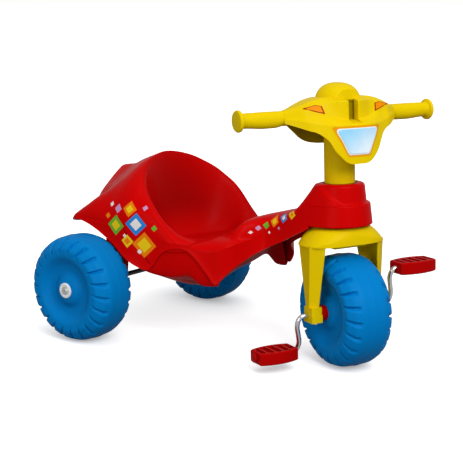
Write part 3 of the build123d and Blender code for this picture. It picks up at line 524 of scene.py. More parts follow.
def lamp_place(here):
    """Place on the lamp: across and up, from -1 to 1 on its outline, and metres outside the outline."""
    left = along(here, steer_left, steer_top)
    up = along(here, steer_up, steer_top) - (LAMP_HIGH + LAMP_LOW) / 2 * MM
    tall = (LAMP_HIGH - LAMP_LOW) / 2 * MM
    half = (up / tall).least(1.0) * ((LAMP_TOP - LAMP_FOOT) / 2 * MM) + (LAMP_TOP + LAMP_FOOT) / 2 * MM
    beside = (abs(left) - half).most(0.0)
    above = (abs(up) - tall).most(0.0)
    return left / half, up / tall, (beside * beside + above * above).math("SQRT")


def lamp_frame_and_shade_paint(here, tone, rough):
    """An orange line round the headlight that ends softly, and painted shade in the hollow and the slot."""
    outside = lamp_place(here)[2]
    ahead = along(here, steer_ahead, steer_top)
    glow = outside.fade(*GLOW_ENDS) * (ahead > GLOW_AHEAD)
    # Painted shade: inner faces of the hollow shell, and the deep part of the slot.
    facing = here.node("ShaderNodeTexCoord", (), (), "Normal")
    left = along(here, steer_left, steer_top)
    up = along(here, steer_up, steer_top)
    inside = (along(facing, steer_ahead, 0 * steer_top) > HOLLOW_FACING) * (ahead < 0.0)
    inside = inside * (abs(left) < HOLLOW_HALF) * (up < HOLLOW_TOP)
    in_slot = (abs(left) < SLOT_SHADE_HALF) * (ahead < SLOT_SHADE_BACK) * (up > SLOT_SHADE_FOOT)
    inside = inside.most(in_slot * (up < SLOT_SHADE_TOP))
    tone = (inside * HOLLOW_SHADE).blend(tone, shade_of(YELLOW, HOLLOW_SHADE_TONE))
    return glow.blend(tone, GLOW_ORANGE), rough


def lens(name, low, high, gloss, shine=0.3):
    """A printed lens: a slant from one colour to another, with a faint cloud in it."""
    material, here = start_material(name)
    across, height = lamp_place(here)[:2]
    cloud = here.noise(LENS_CLOUDS)
    slant = height * SLANT_SHARES[0] - across * SLANT_SHARES[1] + cloud * SLANT_SHARES[2]
    tone = slant.fade(*SLANT_ENDS).blend(low, high)
    end_material(here, tone, cloud * LENS_GLOSS + gloss, Specular_IOR_Level=shine)
    return material


handlebar_yellow = moulded_plastic("handlebar_yellow", YELLOW, paint=lamp_frame_and_shade_paint)
lamp_blue = lens("lamp_blue", (0.80, 0.90, 0.97, 1.0), (0.30, 0.66, 0.93, 1.0), gloss=0.2)
lamp_orange = lens(
    "lamp_orange", (0.86, 0.33, 0.003, 1.0), (0.84, 0.26, 0.002, 1.0), gloss=0.3, shine=PLASTIC_SHINE
)
lamp_edge = moulded_plastic("lamp_edge", (0.36, 0.02, 0.004, 1.0), gloss=0.3)
print("lamp colours ready")

# %% [markdown]
# Metal is rod stock: the crank is bright plated steel, the axle is dark drawn steel, and the caps and
# screws are dull zinc. Fine streaks in the gloss tell drawn metal from a mirror. All finishes are then kept
# under the names that the CAD record uses, so that they can be found again for the nodes that stay.

# %% Metals
STREAK_TONES = (0.86, 1.1)
STREAK_GLOSS = 0.16
STREAK_DEPTH = 0.00002


def drawn_metal(name, colour, gloss, streak_scale):
    """Metal whose gloss and tone change in fine cloudy streaks."""
    material, here = start_material(name)
    streaks = here.noise(streak_scale, detail=5.0)
    tone = streaks.blend(*[shade_of(colour, share) for share in STREAK_TONES])
    end_material(here, tone, streaks * STREAK_GLOSS + gloss, streaks, STREAK_DEPTH, Metallic=1.0)
    return material


chrome = drawn_metal("chrome", (0.72, 0.72, 0.73, 1.0), gloss=0.1, streak_scale=180.0)
dark_steel = drawn_metal("dark_steel", (0.06, 0.06, 0.065, 1.0), gloss=0.3, streak_scale=260.0)
zinc = drawn_metal("zinc", (0.62, 0.62, 0.6, 1.0), gloss=0.24, streak_scale=420.0)
plastics = (yellow_plastic, blue_plastic, white_plastic, black_plastic)
named_alike = plastics + (chrome, dark_steel, zinc, lamp_blue, lamp_orange)
finishes = {finish.name.split(".")[0]: finish for finish in named_alike}
finishes["red_plastic"] = pedal_red
print("finishes:", sorted(finishes))

# %% [markdown]
# Seat and body are one red moulding: a bucket seat, a cowl over the rear axle, fenders, and a neck that
# runs forwards to the steering head. It could be sculpted, but a formula is exact and easy to correct.
# Each cross-section is a superellipse arch from fender to fender on top of two side walls. The bucket
# is a second surface, and a soft minimum of the two leaves a rim with a rounded lip.

# %% Seat outlines
TAIL_X = -104.0
NECK_END_X = 432.0
half_width_at = {
    -104: 22, -100: 62, -92: 98, -80: 130, -66: 153, -54: 164, -30: 167, 40: 166.5, 88: 165, 120: 157,
    152: 150.5, 185: 146, 220: 138, 246: 130, 262: 125, 275: 121, 286: 115, 296: 103, 304: 86, 312: 70,
    326: 54, 350: 50, 380: 53, 405: 55.5, 420: 56, 432: 56,
}
hem_at = {
    -104: 204, -80: 216, -54: 228, -34: 229, -12: 225, 12: 216, 36: 203.5, 62: 188, 89: 166, 111: 154,
    128: 150, 138: 152, 149: 165, 157: 178, 166: 187, 179: 195, 193: 199, 208: 200, 219: 197, 232: 187,
    242: 176, 252: 163, 260: 153, 267: 143, 274: 138, 283: 147, 294: 163, 304: 177, 314: 189, 326: 198,
    346: 210, 384: 229, 406: 242, 432: 256,
}
shoulder_at = {
    -104: 207, -80: 220, -54: 231, -20: 233, 10: 231, 40: 228, 70: 232, 104: 240, 130: 228, 152: 216,
    185: 208, 220: 204, 258: 199, 302: 218, 343: 243, 390: 272, 432: 296,
}
crest_at = {
    -104: 210, -98: 226, -88: 256, -78: 287, -72: 300, -67: 316, -60: 319, -34: 324, 0: 340, 30: 351,
    50: 357, 60: 354, 70: 347, 81: 338, 104: 314, 127: 289, 152: 263, 185: 236, 205: 229, 230: 235,
    258: 245, 300: 258, 347: 272, 382: 283, 397: 291, 411: 308, 425: 327, 432: 332,
}
print("highest crest and widest half of the seat:", max(crest_at.values()), max(half_width_at.values()))

# %% The roof of the seat
FENDER_POWER = 8
COWL_ENDS = (-34, 40)
squareness_at = {
    -104: 1.4, 20: 1.4, 60: 2.0, 85: 3.0, 104: 4.3, 130: 9, 160: 13, 205: 11, 245: 5.5, 275: 3.4,
    320: 3.2, 400: 3.6, 432: 5,
}
fender_share_at = {-104: 0.1, -70: 0.12, -50: 0.17, -35: 0.3, -16: 0.42, 10: 0.48, 432: 0.48}
cowl_at = {0: 1, 0.05: 0.99, 0.15: 0.88, 0.36: 0.58, 0.48: 0.38, 0.58: 0.13, 0.68: 0.02, 0.8: 0, 1: 0}


def cover_share(across, x):
    """Height of the roof from shoulder 0 to crest 1: a cowl between flat fenders, then a superellipse."""
    away = np.abs(across)
    share = through(fender_share_at, x)
    fender = np.sqrt(1 - away**FENDER_POWER)
    cowl = through(cowl_at, away)
    behind = cowl * (1 - share) + fender * share
    arch = np.sqrt(1 - away ** through(squareness_at, x))
    return behind + (arch - behind) * smooth_step(*COWL_ENDS, x)


print("share of the roof half-way to a fender, behind and in front:", cover_share(0.5, np.array((-60, 200))))

# %% Bucket and skin of the seat
BODY_WALL = 4.0
rim_rounding_at = {40: 12, 90: 18, 130: 28, 180: 34, 230: 36, 432: 36}
BOWL_X = 152.0
BOWL_BACK = 103.0
BOWL_FRONT = 84.0
bowl_half_width_at = {40: 141, 90: 140, 150: 131, 200: 116, 250: 104}
floor_at = {40: 190, 120: 186, 148: 190, 168: 203, 188: 216, 205: 224, 230: 234, 250: 242}
BOWL_FLAT = 0.56
BOWL_POWER = 2.0
SCOOP_ENDS = (120, 190)
SCOOP_ROUNDING = 46.0
FLARE = 2.5
FLARE_REACH = 9.0
SKIN_ROWS = 22
SKIN_COLUMNS = 101


def soft_min(a, b, rounding):
    """The smaller of two surfaces, with a parabola of the given size laid into the crease between them."""
    return np.minimum(a, b) - np.maximum(rounding - np.abs(a - b), 0) ** 2 / (4 * rounding)


def seat_skin(wall, stations):
    """Half-open sections of the seat, wall millimetres inside its outer skin, from right hem to left hem."""
    x = (stations + wall * (1 - smooth_step(TAIL_X, 0, stations)))[:, None]
    half = through(half_width_at, x) - wall
    hem = through(hem_at, x)
    shoulder = through(shoulder_at, x)
    crest = through(crest_at, x) - wall
    across = np.sin(np.linspace(-np.pi / 2, np.pi / 2, SKIN_COLUMNS))[None, :]
    cover = shoulder + np.maximum(crest - shoulder, 0) * cover_share(across, x)
    top_y = half * across
    length = np.where(x < BOWL_X, BOWL_BACK, BOWL_FRONT) + wall
    reach = np.hypot((x - BOWL_X) / length, top_y / (through(bowl_half_width_at, x) + wall))
    rise = np.maximum((reach - BOWL_FLAT) / (1 - BOWL_FLAT), 0) ** BOWL_POWER
    floor_z = through(floor_at, x)
    bowl = floor_z - wall + np.maximum(cover - floor_z, 0) * rise
    rounding = through(rim_rounding_at, x) + SCOOP_ROUNDING * smooth_step(*SCOOP_ENDS, x)
    top_z = soft_min(cover, bowl, rounding)
    climb = np.linspace(0, 1, SKIN_ROWS + 1)[None, :-1]
    side_z = hem + (shoulder - hem) * climb
    side_y = half + FLARE * np.exp(-(side_z - hem) / FLARE_REACH)
    y = np.concatenate([-side_y, top_y, side_y[:, ::-1]], 1)
    z = np.concatenate([side_z, top_z, side_z[:, ::-1]], 1)
    return on_seat(x + 0 * y, y, z)


station_share = (0, 0.14, 0.28, 0.42, 0.84, 1)
station_x = (TAIL_X, -60, 30, 110, 312, NECK_END_X)
stations = np.interp(np.linspace(0, 1, 261), station_share, station_x)
outer_skin = seat_skin(0, stations)
inner_skin = seat_skin(BODY_WALL, stations)
print("sections of the seat and points in each:", outer_skin.shape[:2])

# %% [markdown]
# Under the bucket the real moulding closes into a hull, which is seen through the arch of the skirt.
# Behind it two ribs reach down to the axle, so that the body rests on it. The hull is a second grid: a bottom
# curve from its keel to its lobes, and quarter ellipses that turn up into the skirt. A rib is a loft of
# one rounded rectangle. All of it joins the seat as one piece, since it is one moulding.

# %% The hull
HULL_ENDS = (58, 272)
HULL_POWERS = (1.6, 12.0)
HULL_POWER_ENDS = (185, 216)
HULL_FLOOR = 0.93
HULL_FLOOR_SHARE = 0.65
HULL_INSET = 2.5
HULL_LAP = 3.0
keel_at = {
    55: 185, 75: 150, 95: 127, 115: 114, 140: 103, 160: 97, 178: 104, 195: 125, 215: 147, 235: 166,
    250: 179, 265: 190, 275: 196,
}
lobe_at = {
    55: 188, 75: 172, 95: 155, 128: 142, 160: 138, 190: 141, 205: 145, 214: 145, 225: 139, 239: 131,
    255: 130, 275: 133,
}
hull_x = np.linspace(*HULL_ENDS, 90)[:, None]
hull_share = np.linspace(-1, 1, 121)[None, :]
hull_bottom = np.clip(np.abs(hull_share) / HULL_FLOOR_SHARE, 0, 1)
hull_turn = np.clip((np.abs(hull_share) - HULL_FLOOR_SHARE) / (1 - HULL_FLOOR_SHARE), 0, 1) * np.pi / 2
hull_across = np.sign(hull_share) * (HULL_FLOOR * hull_bottom + (1 - HULL_FLOOR) * np.sin(hull_turn))
hull_power = HULL_POWERS[0] + (HULL_POWERS[1] - HULL_POWERS[0]) * smooth_step(*HULL_POWER_ENDS, hull_x)
keel = through(keel_at, hull_x)
lobe = through(lobe_at, hull_x)
hull_y = (through(half_width_at, hull_x) - HULL_INSET) * hull_across
hull_z = keel + (lobe - keel) * hull_bottom**hull_power
hull_z = hull_z + (through(hem_at, hull_x) + HULL_LAP - lobe) * (1 - np.cos(hull_turn))
hull_outer = on_seat(hull_x + 0 * hull_y, hull_y, hull_z)
hull_inner = on_seat(hull_x + 0 * hull_y, hull_y - np.sign(hull_y), hull_z + BODY_WALL)
print("points of the hull:", hull_outer.shape[:2])

# %% Ribs and the seat moulding
RIB_Y = 95.0
RIB_HALF_LENGTH = 23.0
RIB_HALF_WIDTH = 6.0
RIB_TOP = 242.0
RIB_SIZES = (0.01, 1, 1.3, 0.01)
rib_corners = np.array([(1, 1), (-1, 1), (-1, -1), (1, -1)]) * (RIB_HALF_LENGTH, RIB_HALF_WIDTH)
axle_up = rear_axle[2] / MM
rib_heights = (axle_up, axle_up, RIB_TOP, RIB_TOP)
ribs = []
for side in (-1, 1):
    on_rib = placed(np.array((rear_axle[0], side * RIB_Y * MM, 0)), *np.eye(3))
    ribs.append(loft(rounded(rib_corners, 2), RIB_SIZES, rib_heights, on_rib))
seat_surfaces = shell(outer_skin, inner_skin) + shell(hull_outer, hull_inner) + ribs
make_piece("seat_moulding", "chassis", red_plastic, seat_surfaces, ["seat_body"])

# %% [markdown]
# The steering head is the tall collar at the end of the neck: two tiers with a step between them, round the
# leaning steering axis. The step fades out at the back, where a wedge of the neck runs up to the top.
# A Screw modifier could turn the two tiers, but not the wedge, so here the radius also depends on the angle.

# %% The steering head
HEAD_STEP = 52.0
HEAD_TOP = 88.0
HEAD_BACKS = (60.0, 33.0)
BACK_POWER = 4.0
HEAD_BORE = 36.0
HEAD_SKIN = 44.0
WEDGE_ANGLES = (58, 106)
WEDGE_EDGE = 0.15
WEDGE_RADII = (55.5, 46.5)
WEDGE_SHARE = 0.97
TINY = 1e-9
head_points = [
    (31, HEAD_TOP), (45, HEAD_TOP), (48.5, HEAD_STEP), (55, HEAD_STEP), (59, 12),
    (54, 12), (50, 44), (HEAD_BORE, 78), (31, 78),
]
head_corners = rounded(head_points, [1, 7, 2, 3, 2, 1, 3, 2, 1])
head_profile = spaced(np.concatenate([head_corners, head_corners[:1]]), 150)[0][:-1]
head_angle = np.linspace(-np.pi, np.pi, 240, endpoint=False)[:, None]
profile_radius = head_profile[None, :, 0]
height = head_profile[None, :, 1]
climb = (HEAD_STEP, HEAD_TOP)
wedge_edge = np.radians(np.interp(height, climb, WEDGE_ANGLES))
wedge = smooth_step(wedge_edge - WEDGE_EDGE, wedge_edge + WEDGE_EDGE, np.abs(head_angle))
on_outside = smooth_step(HEAD_BORE, HEAD_SKIN, profile_radius) * (height > HEAD_STEP - 2)
flush = np.interp(height, climb, WEDGE_RADII) - profile_radius
head_radius = profile_radius + np.maximum(flush, 0) * wedge * on_outside * WEDGE_SHARE
side_reach = np.maximum(np.abs(np.sin(head_angle)), TINY) / head_radius
back_reach = np.maximum(-np.cos(head_angle), 0) / np.interp(height, climb, HEAD_BACKS)
square = (side_reach**BACK_POWER + back_reach**BACK_POWER) ** (-1 / BACK_POWER)
behind = np.where(np.cos(head_angle) < 0, square, head_radius)
squared = np.maximum(wedge, height < HEAD_STEP + 1)
outer_radius = head_radius + (behind - head_radius) * squared
head_radius = np.where(profile_radius > HEAD_SKIN, outer_radius, np.minimum(head_radius, behind))
head_grid = on_head(head_radius * np.cos(head_angle), head_radius * np.sin(head_angle), height)
make_piece("steering_head", "chassis", red_plastic, [(head_grid, True, True)])

# %% [markdown]
# The three wheels are the same hollow moulding: a crowned tread, a flat side, a dish with a hub in it,
# and a ring of slanted notches round each shoulder. The notches could be cut with Booleans, but then their
# edges would be sharp. Here the profile is turned round the axle, and each notch presses the surface in
# along its own normal, with one steep edge and one slanted edge.

# %% The three wheels
NOTCHES = 22
NOTCH_DEPTH = 6.2
NOTCH_ENDS = (26, 67)
NOTCH_WIDTH = 0.42
NOTCH_TAPER = 0.6
NOTCH_SKEW = 0.30
NOTCH_SKEW_POWER = 1.5
NOTCH_EDGE = 0.08
NOTCH_FLAT = 0.3
NOTCH_LEAN = 0.35
NOTCH_IN = (0, 0.16)
NOTCH_OUT = (0.8, 1.0)
SEAM_HEIGHT = 0.5
SEAM_WIDTH = 1.2
REAR_TURN = 0.1
wheel_points = [
    (104, 0), (103, 22), (97, 37), (82, 48), (66, 47), (50, 35), (36, 32), (25, 41), (13, 44), (13, 0),
]
wheel_radii = [0, 24, 14, 12, 14, 14, 12, 10, 0, 0]


def wheel_grid(place, turn):
    """Radius and width follow the profile; a notch is depth times a groove over the angle times a window."""
    half, run = spaced(rounded(wheel_points, wheel_radii, closed=False, steps=10), 78)
    tangent = np.gradient(half, run, axis=0)
    normal = np.stack([tangent[:, 1], -tangent[:, 0]], -1)
    angle = full_turn(NOTCHES * 24)[:, None] + turn
    share = (run - NOTCH_ENDS[0]) / (NOTCH_ENDS[1] - NOTCH_ENDS[0])
    window = smooth_step(*NOTCH_IN, share) * (1 - smooth_step(*NOTCH_OUT, share))
    share = np.clip(share, 0, 1)
    width = NOTCH_WIDTH * (1 - NOTCH_TAPER * share**2)
    seam = SEAM_HEIGHT * np.exp(-((run / SEAM_WIDTH) ** 2))
    radius = []
    width_y = []
    for side in (-1, 1):
        phase = (angle * NOTCHES / (2 * np.pi) * side + NOTCH_SKEW * share**NOTCH_SKEW_POWER) % 1.0
        across = phase / width
        groove = smooth_step(0, NOTCH_EDGE, phase) * (1 - smooth_step(NOTCH_FLAT, 1, across))
        press = seam - NOTCH_DEPTH * groove * (1 - NOTCH_LEAN * across) * window
        radius.append(half[:, 0] + press * normal[:, 0])
        width_y.append(side * (half[:, 1] + press * normal[:, 1]))
    radius = np.concatenate([radius[0][:, :0:-1], radius[1]], 1)
    width_y = np.concatenate([width_y[0][:, :0:-1], width_y[1]], 1)
    return place(radius * np.cos(angle), width_y, radius * np.sin(angle)), True, True


for side in ("right", "left"):
    hub = np.array(joints[side + "_rear_wheel_spin"]["pos_m"])
    grid = wheel_grid(placed(hub, *np.eye(3)), REAR_TURN)
    node = "rear_wheel_" + side
    make_piece(node + "_moulding", side + "_rear_wheel", blue_plastic, [grid], [node])
grid = wheel_grid(placed(front_hub, steer_ahead, steer_left, steer_up), turn=0.0)
make_piece("front_wheel_moulding", "front_drive", blue_plastic, [grid], ["front_wheel"])

# %% [markdown]
# Each rear wheel is held on its axle by a white washer and a bright pressed cap. Both are outlines turned
# round the axle, as a Screw modifier would do: a low ring with soft edges, and a small dome with a dimple.

# %% Washers and caps of the rear axle
WASHER_RADIUS = 15.0
CAP_RADIUS = 8.5
AXLE_END_INSET = 5.2
washer_points = [(6, -1.5), (WASHER_RADIUS, -1.5), (WASHER_RADIUS, 1.6), (12, 2.6), (9.5, 1.4), (6, 1.4)]
washer_profile = rounded(washer_points, [0.3, 0.5, 1, 0.8, 0.6, 0.3])
cap_points = [(0, -1.5), (CAP_RADIUS, -1.5), (CAP_RADIUS, 1.6), (5.4, 4.6), (3, 4.4), (0, 3.2)]
cap_profile = rounded(cap_points, [0, 0.3, 0.6, 1.2, 0.8, 0])
hub_face = cad_box[1][1] - AXLE_END_INSET * MM
washers = []
caps = []
for side in (-1, 1):
    axle_end = np.array((rear_axle[0], side * hub_face, rear_axle[2]))
    on_end = placed(axle_end, *np.array([(1, 0, 0), (0, 0, 1), (0, side, 0)]))
    washers.append(lathe(washer_profile, on_end))
    caps.append(lathe(cap_profile, on_end))
make_piece("rear_washers", "chassis", white_plastic, washers, ["rear_hub_washers"])
make_piece("rear_caps", "chassis", zinc, caps, ["axle_end_caps"])

# %% [markdown]
# The handlebar is one yellow shell, open below: two wings, a nose that carries the headlight, and an
# upright wall with a slot between them, under the dome. It could be joined from boxes and bevelled, but
# then its sides would not flow into each other. Here a section is a polygon with rounded corners, and
# its corners travel along smooth curves from the middle of the bar to the wing's end.

# %% Handlebar outlines
back_ahead_at = {0: -36, 58: -36, 66: -34, 90: -30, 116: -23}
back_low_at = {0: 158, 30: 159, 46: 162, 66: 172, 80: 184, 94: 195, 116: 200}
top_at = {0: 240, 30: 243, 45: 243, 57: 241, 66: 239, 86: 232, 99: 227, 116: 222}
top_front_at = {0: 20, 40: 20, 57: 19, 66: 17, 86: 12, 99: 6, 116: -3}
face_ahead_at = {0: 47, 16: 47, 26: 43, 40: 35, 57: 30, 70: 28, 87: 24, 101: 14, 116: 4}
face_up_at = {0: 237, 26: 237, 40: 236, 57: 233, 70: 231, 87: 226, 101: 222, 116: 217}
foot_ahead_at = {0: 48, 16: 48, 26: 46, 40: 41, 57: 37, 70: 33, 87: 29, 101: 18, 116: 6.5}
foot_up_at = {0: 204, 16: 204, 26: 206, 40: 210, 57: 215, 70: 214, 87: 213, 116: 211}
brow_ahead_at = {0: 64, 30: 62, 42: 58, 55: 50, 70: 42, 87: 34, 101: 22, 116: 8}
brow_up_at = {0: 197, 30: 197, 55: 196, 70: 199, 87: 203, 101: 206, 116: 207}
low_ahead_at = {
    0: 68, 22: 67, 28: 66, 37: 64, 46: 60, 54: 56, 60: 51, 70: 45, 84: 37, 101: 24, 116: 8.5,
}
low_up_at = {
    0: 127, 12: 127, 21: 129, 29: 134, 37: 142, 46: 153, 54: 168, 60: 175, 70: 183, 84: 188, 101: 195,
    116: 201,
}
WING_END = max(low_up_at)
print("each wing reaches", WING_END, "mm from the middle")

# %% Sections of the handlebar
BACK_SLOPE = (12.0, 17.0)
SLOT_HALF = 9.5
SLOT_BACK = 31.0
SLOT_LIP = 4.0
CORNER_RADII = (0, 6, 8, 8, 3, 4, 6, 0)


def handlebar_corners(v, wall):
    """Eight corners of the section at v, from the back edge over top, face and brow to the front edge."""
    away = np.abs(v)
    back = through(back_ahead_at, away) + wall
    top = through(top_at, away) - wall
    in_slot = away < SLOT_HALF
    face = np.where(in_slot, SLOT_BACK, through(face_ahead_at, away)) - wall
    foot = np.where(in_slot, SLOT_BACK, through(foot_ahead_at, away)) - wall
    top_front = np.where(in_slot, SLOT_BACK - SLOT_LIP, through(top_front_at, away))
    brow = through(brow_ahead_at, away) - wall
    front = through(low_ahead_at, away) - wall
    ahead = [back, back, back + BACK_SLOPE[0], top_front, face, foot, brow, front]
    up = [through(back_low_at, away), top - BACK_SLOPE[1], top, top - wall / 4]
    up = up + [through(table, away) - wall for table in (face_up_at, foot_up_at, brow_up_at)]
    up = up + [through(low_up_at, away)]
    return np.stack([np.stack(ahead, -1), np.stack(up, -1)], -1)


def handlebar_sections(v, wall, count):
    """Rounded polygons, each cut into count points and set beside each other along the bar."""
    corners = handlebar_corners(v, wall)
    flat = np.stack([rounded(polygon, CORNER_RADII, closed=False) for polygon in corners])
    share = np.linspace(0, flat.shape[1] - 1, count)
    low = np.minimum(share.astype(int), flat.shape[1] - 2)
    mix = (share - low)[:, None]
    flat = flat[:, low] * (1 - mix) + flat[:, low + 1] * mix
    return on_steering(flat[..., 0], v[:, None] + 0 * flat[..., 0], flat[..., 1])


def bar_front(v, w):
    """How far ahead the shell's front is at (v, w): straight lines from face to foot, brow and front edge."""
    corners = handlebar_corners(v, 0)
    ahead = corners[..., 4, 0]
    for k in (4, 5, 6):
        drop = corners[..., k, 1] - corners[..., k + 1, 1]
        share = np.clip((corners[..., k, 1] - w) / drop, 0, 1)
        ahead = ahead + share * (corners[..., k + 1, 0] - corners[..., k, 0])
    return ahead


print("corners of a section:", handlebar_corners(np.zeros(1), 0).shape[1])

# %% [markdown]
# Outside and inside of the shell are the same sections, the inner ones drawn in by the wall, and together
# they close into one loop. A cap closes each end, where a grip begins. The dome on top is half
# of a stretched ball, cut off flat in front, where it meets the upright wall.

# %% The handlebar shell
SHELL_WALL = 3.5
GRIP_AHEAD = -8.0
GRIP_UP = 209.0
SECTION_POINTS = 152
SLOT_EDGE = 0.1
NOSE_HALF = 60.0
END_WALL = 3.0
CAP_HOLE = 0.2
in_slot = np.linspace(0, SLOT_HALF - SLOT_EDGE, 5)
on_nose = np.linspace(SLOT_HALF + SLOT_EDGE, NOSE_HALF, 34)
on_wing = np.linspace(NOSE_HALF + 2, WING_END, 26)
half_v = np.concatenate([in_slot, on_nose, on_wing])
bar_v = np.concatenate([-half_v[:0:-1], half_v])
inner_v = np.clip(bar_v, END_WALL - WING_END, WING_END - END_WALL)
outer_shell = handlebar_sections(bar_v, 0, SECTION_POINTS)
inner_shell = handlebar_sections(inner_v, SHELL_WALL, SECTION_POINTS)
bar_loop = np.concatenate([outer_shell, inner_shell[:, ::-1]], 1)
bar_ends = []
for end in (0, -1):
    middle = on_steering(GRIP_AHEAD, np.array(bar_v[end]), GRIP_UP)
    rim = bar_loop[end]
    bar_ends.append((np.stack([rim, middle + (rim - middle) * CAP_HOLE]), False, True))
print("points of the shell:", bar_loop.shape[:2])

# %% The dome
DOME_AHEAD = -8.0
DOME_HALF = 41.0
DOME_BACK = 34.0
DOME_FRONT = 50.0
DOME_FACET = 31.0
DOME_LOW = 233.0
DOME_HEIGHT = 35.0
DOME_FULLNESS = 0.8
dome_tilt = np.linspace(0, np.pi / 2, 36)[:, None]
dome_angle = full_turn(96)[None, :]
dome_size = np.cos(dome_tilt) ** DOME_FULLNESS
dome_length = np.where(np.cos(dome_angle) > 0, DOME_FRONT, DOME_BACK)
dome_u = DOME_AHEAD + dome_length * dome_size * np.cos(dome_angle)
dome_v = DOME_HALF * dome_size * np.sin(dome_angle)
dome_w = DOME_LOW + DOME_HEIGHT * np.sin(dome_tilt) + 0 * dome_angle
dome_grid = on_steering(np.minimum(dome_u, DOME_FACET), dome_v, dome_w)
print("points of the dome:", dome_grid.shape[:2])

# %% [markdown]
# A grip is a turned profile with a flange at its end, which keeps a child's hand from slipping off. Its
# underside bulges a little, so the radius grows downwards by a sine. Shell, dome and grips become one
# piece, because on the toy they are one moulding.

# %% The grips
BELLY = 2.0
BELLY_IN = (114, 128)
BELLY_OUT = (150, 188)
grip_points = [
    (0, 104), (13.5, 104), (14, 150), (13.6, 180), (13.2, 194.5), (19.5, 196.5), (19.5, 203), (0, 204),
]
grip_profile = spaced(rounded(grip_points, [0, 1, 20, 8, 2, 3, 3, 0], closed=False), 60)[0]
grip_v = grip_profile[None, :, 1]
grip_angle = full_turn(64)[:, None]
belly = BELLY * np.clip(-np.sin(grip_angle), 0, 1) * smooth_step(*BELLY_IN, grip_v)
grip_radius = grip_profile[None, :, 0] + belly * (1 - smooth_step(*BELLY_OUT, grip_v))
grip_u = GRIP_AHEAD + grip_radius * np.cos(grip_angle)
grip_w = GRIP_UP + grip_radius * np.sin(grip_angle)
grips = [(on_steering(grip_u, side * grip_v, grip_w), True, False) for side in (-1, 1)]
bar_parts = [(bar_loop, False, True), (dome_grid, False, True)] + bar_ends + grips
make_piece(
    "handlebar_moulding", "steering", handlebar_yellow, bar_parts, ["handlebar"], crease=26
)

# %% [markdown]
# The headlight and the two indicators are panels let into the shell. On the toy they are printed or
# pressed in; here each is a low pad: rings of one outline that shrink to its middle, laid on the shell's
# front and lifted a little. A darker or whiter pad of full size under a smaller one makes the border.

# %% Lamp panels
PANEL_SIZES = (1, 1, 0.97, 0.9, 0.6, 0.3, 0)
PANEL_RISES = (-2, 0.5, 1, 1, 1, 1, 1)
HEADLIGHT_SHARE = 0.95
INDICATOR_SHARE = 0.78
indicator_corners = np.array([(91, 226), (67, 231.5), (55, 229.5), (51.5, 215)])


def panel(name, material, outline, share, lift, nodes=()):
    """Rings of an outline, drawn in by share, from a sunk edge to the middle, lifted off the bar's front."""
    middle = outline.mean(axis=0)
    rings = middle + (outline - middle) * share * np.array(PANEL_SIZES)[:, None, None]
    v, w = np.moveaxis(rings, -1, 0)
    grid = on_steering(bar_front(v, w) + np.array(PANEL_RISES)[:, None] * lift, v, w)
    make_piece(name, "steering", material, [(grid, False, True)], nodes, crease=60)


lamp_corners = [(-LAMP_TOP, LAMP_HIGH), (LAMP_TOP, LAMP_HIGH), (LAMP_FOOT, LAMP_LOW), (-LAMP_FOOT, LAMP_LOW)]
outline = spaced(rounded(lamp_corners, 5), 120)[0]
panel("headlight_border", white_plastic, outline, share=1, lift=0.8)
panel("headlight_lens", lamp_blue, outline, HEADLIGHT_SHARE, lift=1.5, nodes=["headlight_panel"])
for side, name in ((-1, "right"), (1, "left")):
    outline = spaced(rounded(indicator_corners * (side, 1), 1), 60)[0]
    border = "indicator_border_" + name
    glass = "indicator_lens_" + name
    node = "indicator_" + name
    panel(border, lamp_edge, outline, share=1, lift=0.5)
    panel(glass, lamp_orange, outline, INDICATOR_SHARE, lift=1.0, nodes=[node])

# %% [markdown]
# The fork is a yellow bridge over the front wheel: a domed crown with a short rim, and two tapering legs
# under it. The crown could be a cube with a bevel, but its dome is easier to meet by a surface over polar
# coordinates: from the hole round the column out to a superellipse, then down its rim and back inside.

# %% The fork crown
CROWN_LENGTH_HALF = 51.0
CROWN_WIDTH_HALF = 80.5
CROWN_POWER = 2.6
CROWN_POWER_CHANGE = 0.4
CROWN_HOLE = 45.5
CROWN_HIGH = 9.5
CROWN_LOW = -22.0
CROWN_WALL = 4.5
CROWN_DROP = 12.0
SIDE_DROP = 18.0
CEILING_DROP = 0.4
RIM_EDGE = 0.8
DOME_POWER = 1.8
crown_angle = full_turn(160)[:, None]
crown_u = np.abs(np.cos(crown_angle)) / CROWN_LENGTH_HALF
crown_v = np.abs(np.sin(crown_angle)) / CROWN_WIDTH_HALF
crown_power = CROWN_POWER + CROWN_POWER_CHANGE * np.cos(crown_angle)
crown_reach = (crown_u**crown_power + crown_v**crown_power) ** (-1 / crown_power)
sideways = (crown_reach - CROWN_LENGTH_HALF) / (CROWN_WIDTH_HALF - CROWN_LENGTH_HALF)
crown_drop = CROWN_DROP + SIDE_DROP * np.clip(sideways, 0, 1)
dome_share = np.sin(np.linspace(0, np.pi / 2, 18))[None, :]
dome_r = CROWN_HOLE + (crown_reach - CROWN_HOLE) * dome_share
dome_top = CROWN_HIGH - crown_drop * dome_share**DOME_POWER
rim_r = crown_reach - np.array([0, 0, RIM_EDGE, CROWN_WALL - RIM_EDGE, CROWN_WALL, CROWN_WALL])[None, :]
rim_share = np.array([0.5, 0.94, 1, 1, 0.94, 0.2])[None, :]
rim_w = dome_top[:, -1:] + (CROWN_LOW - dome_top[:, -1:]) * rim_share
ceiling_r = CROWN_HOLE + 0 * crown_reach
ceiling_w = CROWN_HIGH - crown_drop * CEILING_DROP - CROWN_WALL
crown_r = np.concatenate([dome_r, rim_r, ceiling_r], 1)
crown_w = np.concatenate([dome_top, rim_w, ceiling_w], 1)
crown_grid = on_steering(crown_r * np.cos(crown_angle), crown_r * np.sin(crown_angle), crown_w)
print("points of the crown:", crown_grid.shape[:2])

# %% [markdown]
# Each leg is an open channel with a slanted front corner. Its section is a bent strip, given at the crown
# and at the foot, and every section between is a mix of the two. A small block at the foot sits on the
# shoe that holds the crank.

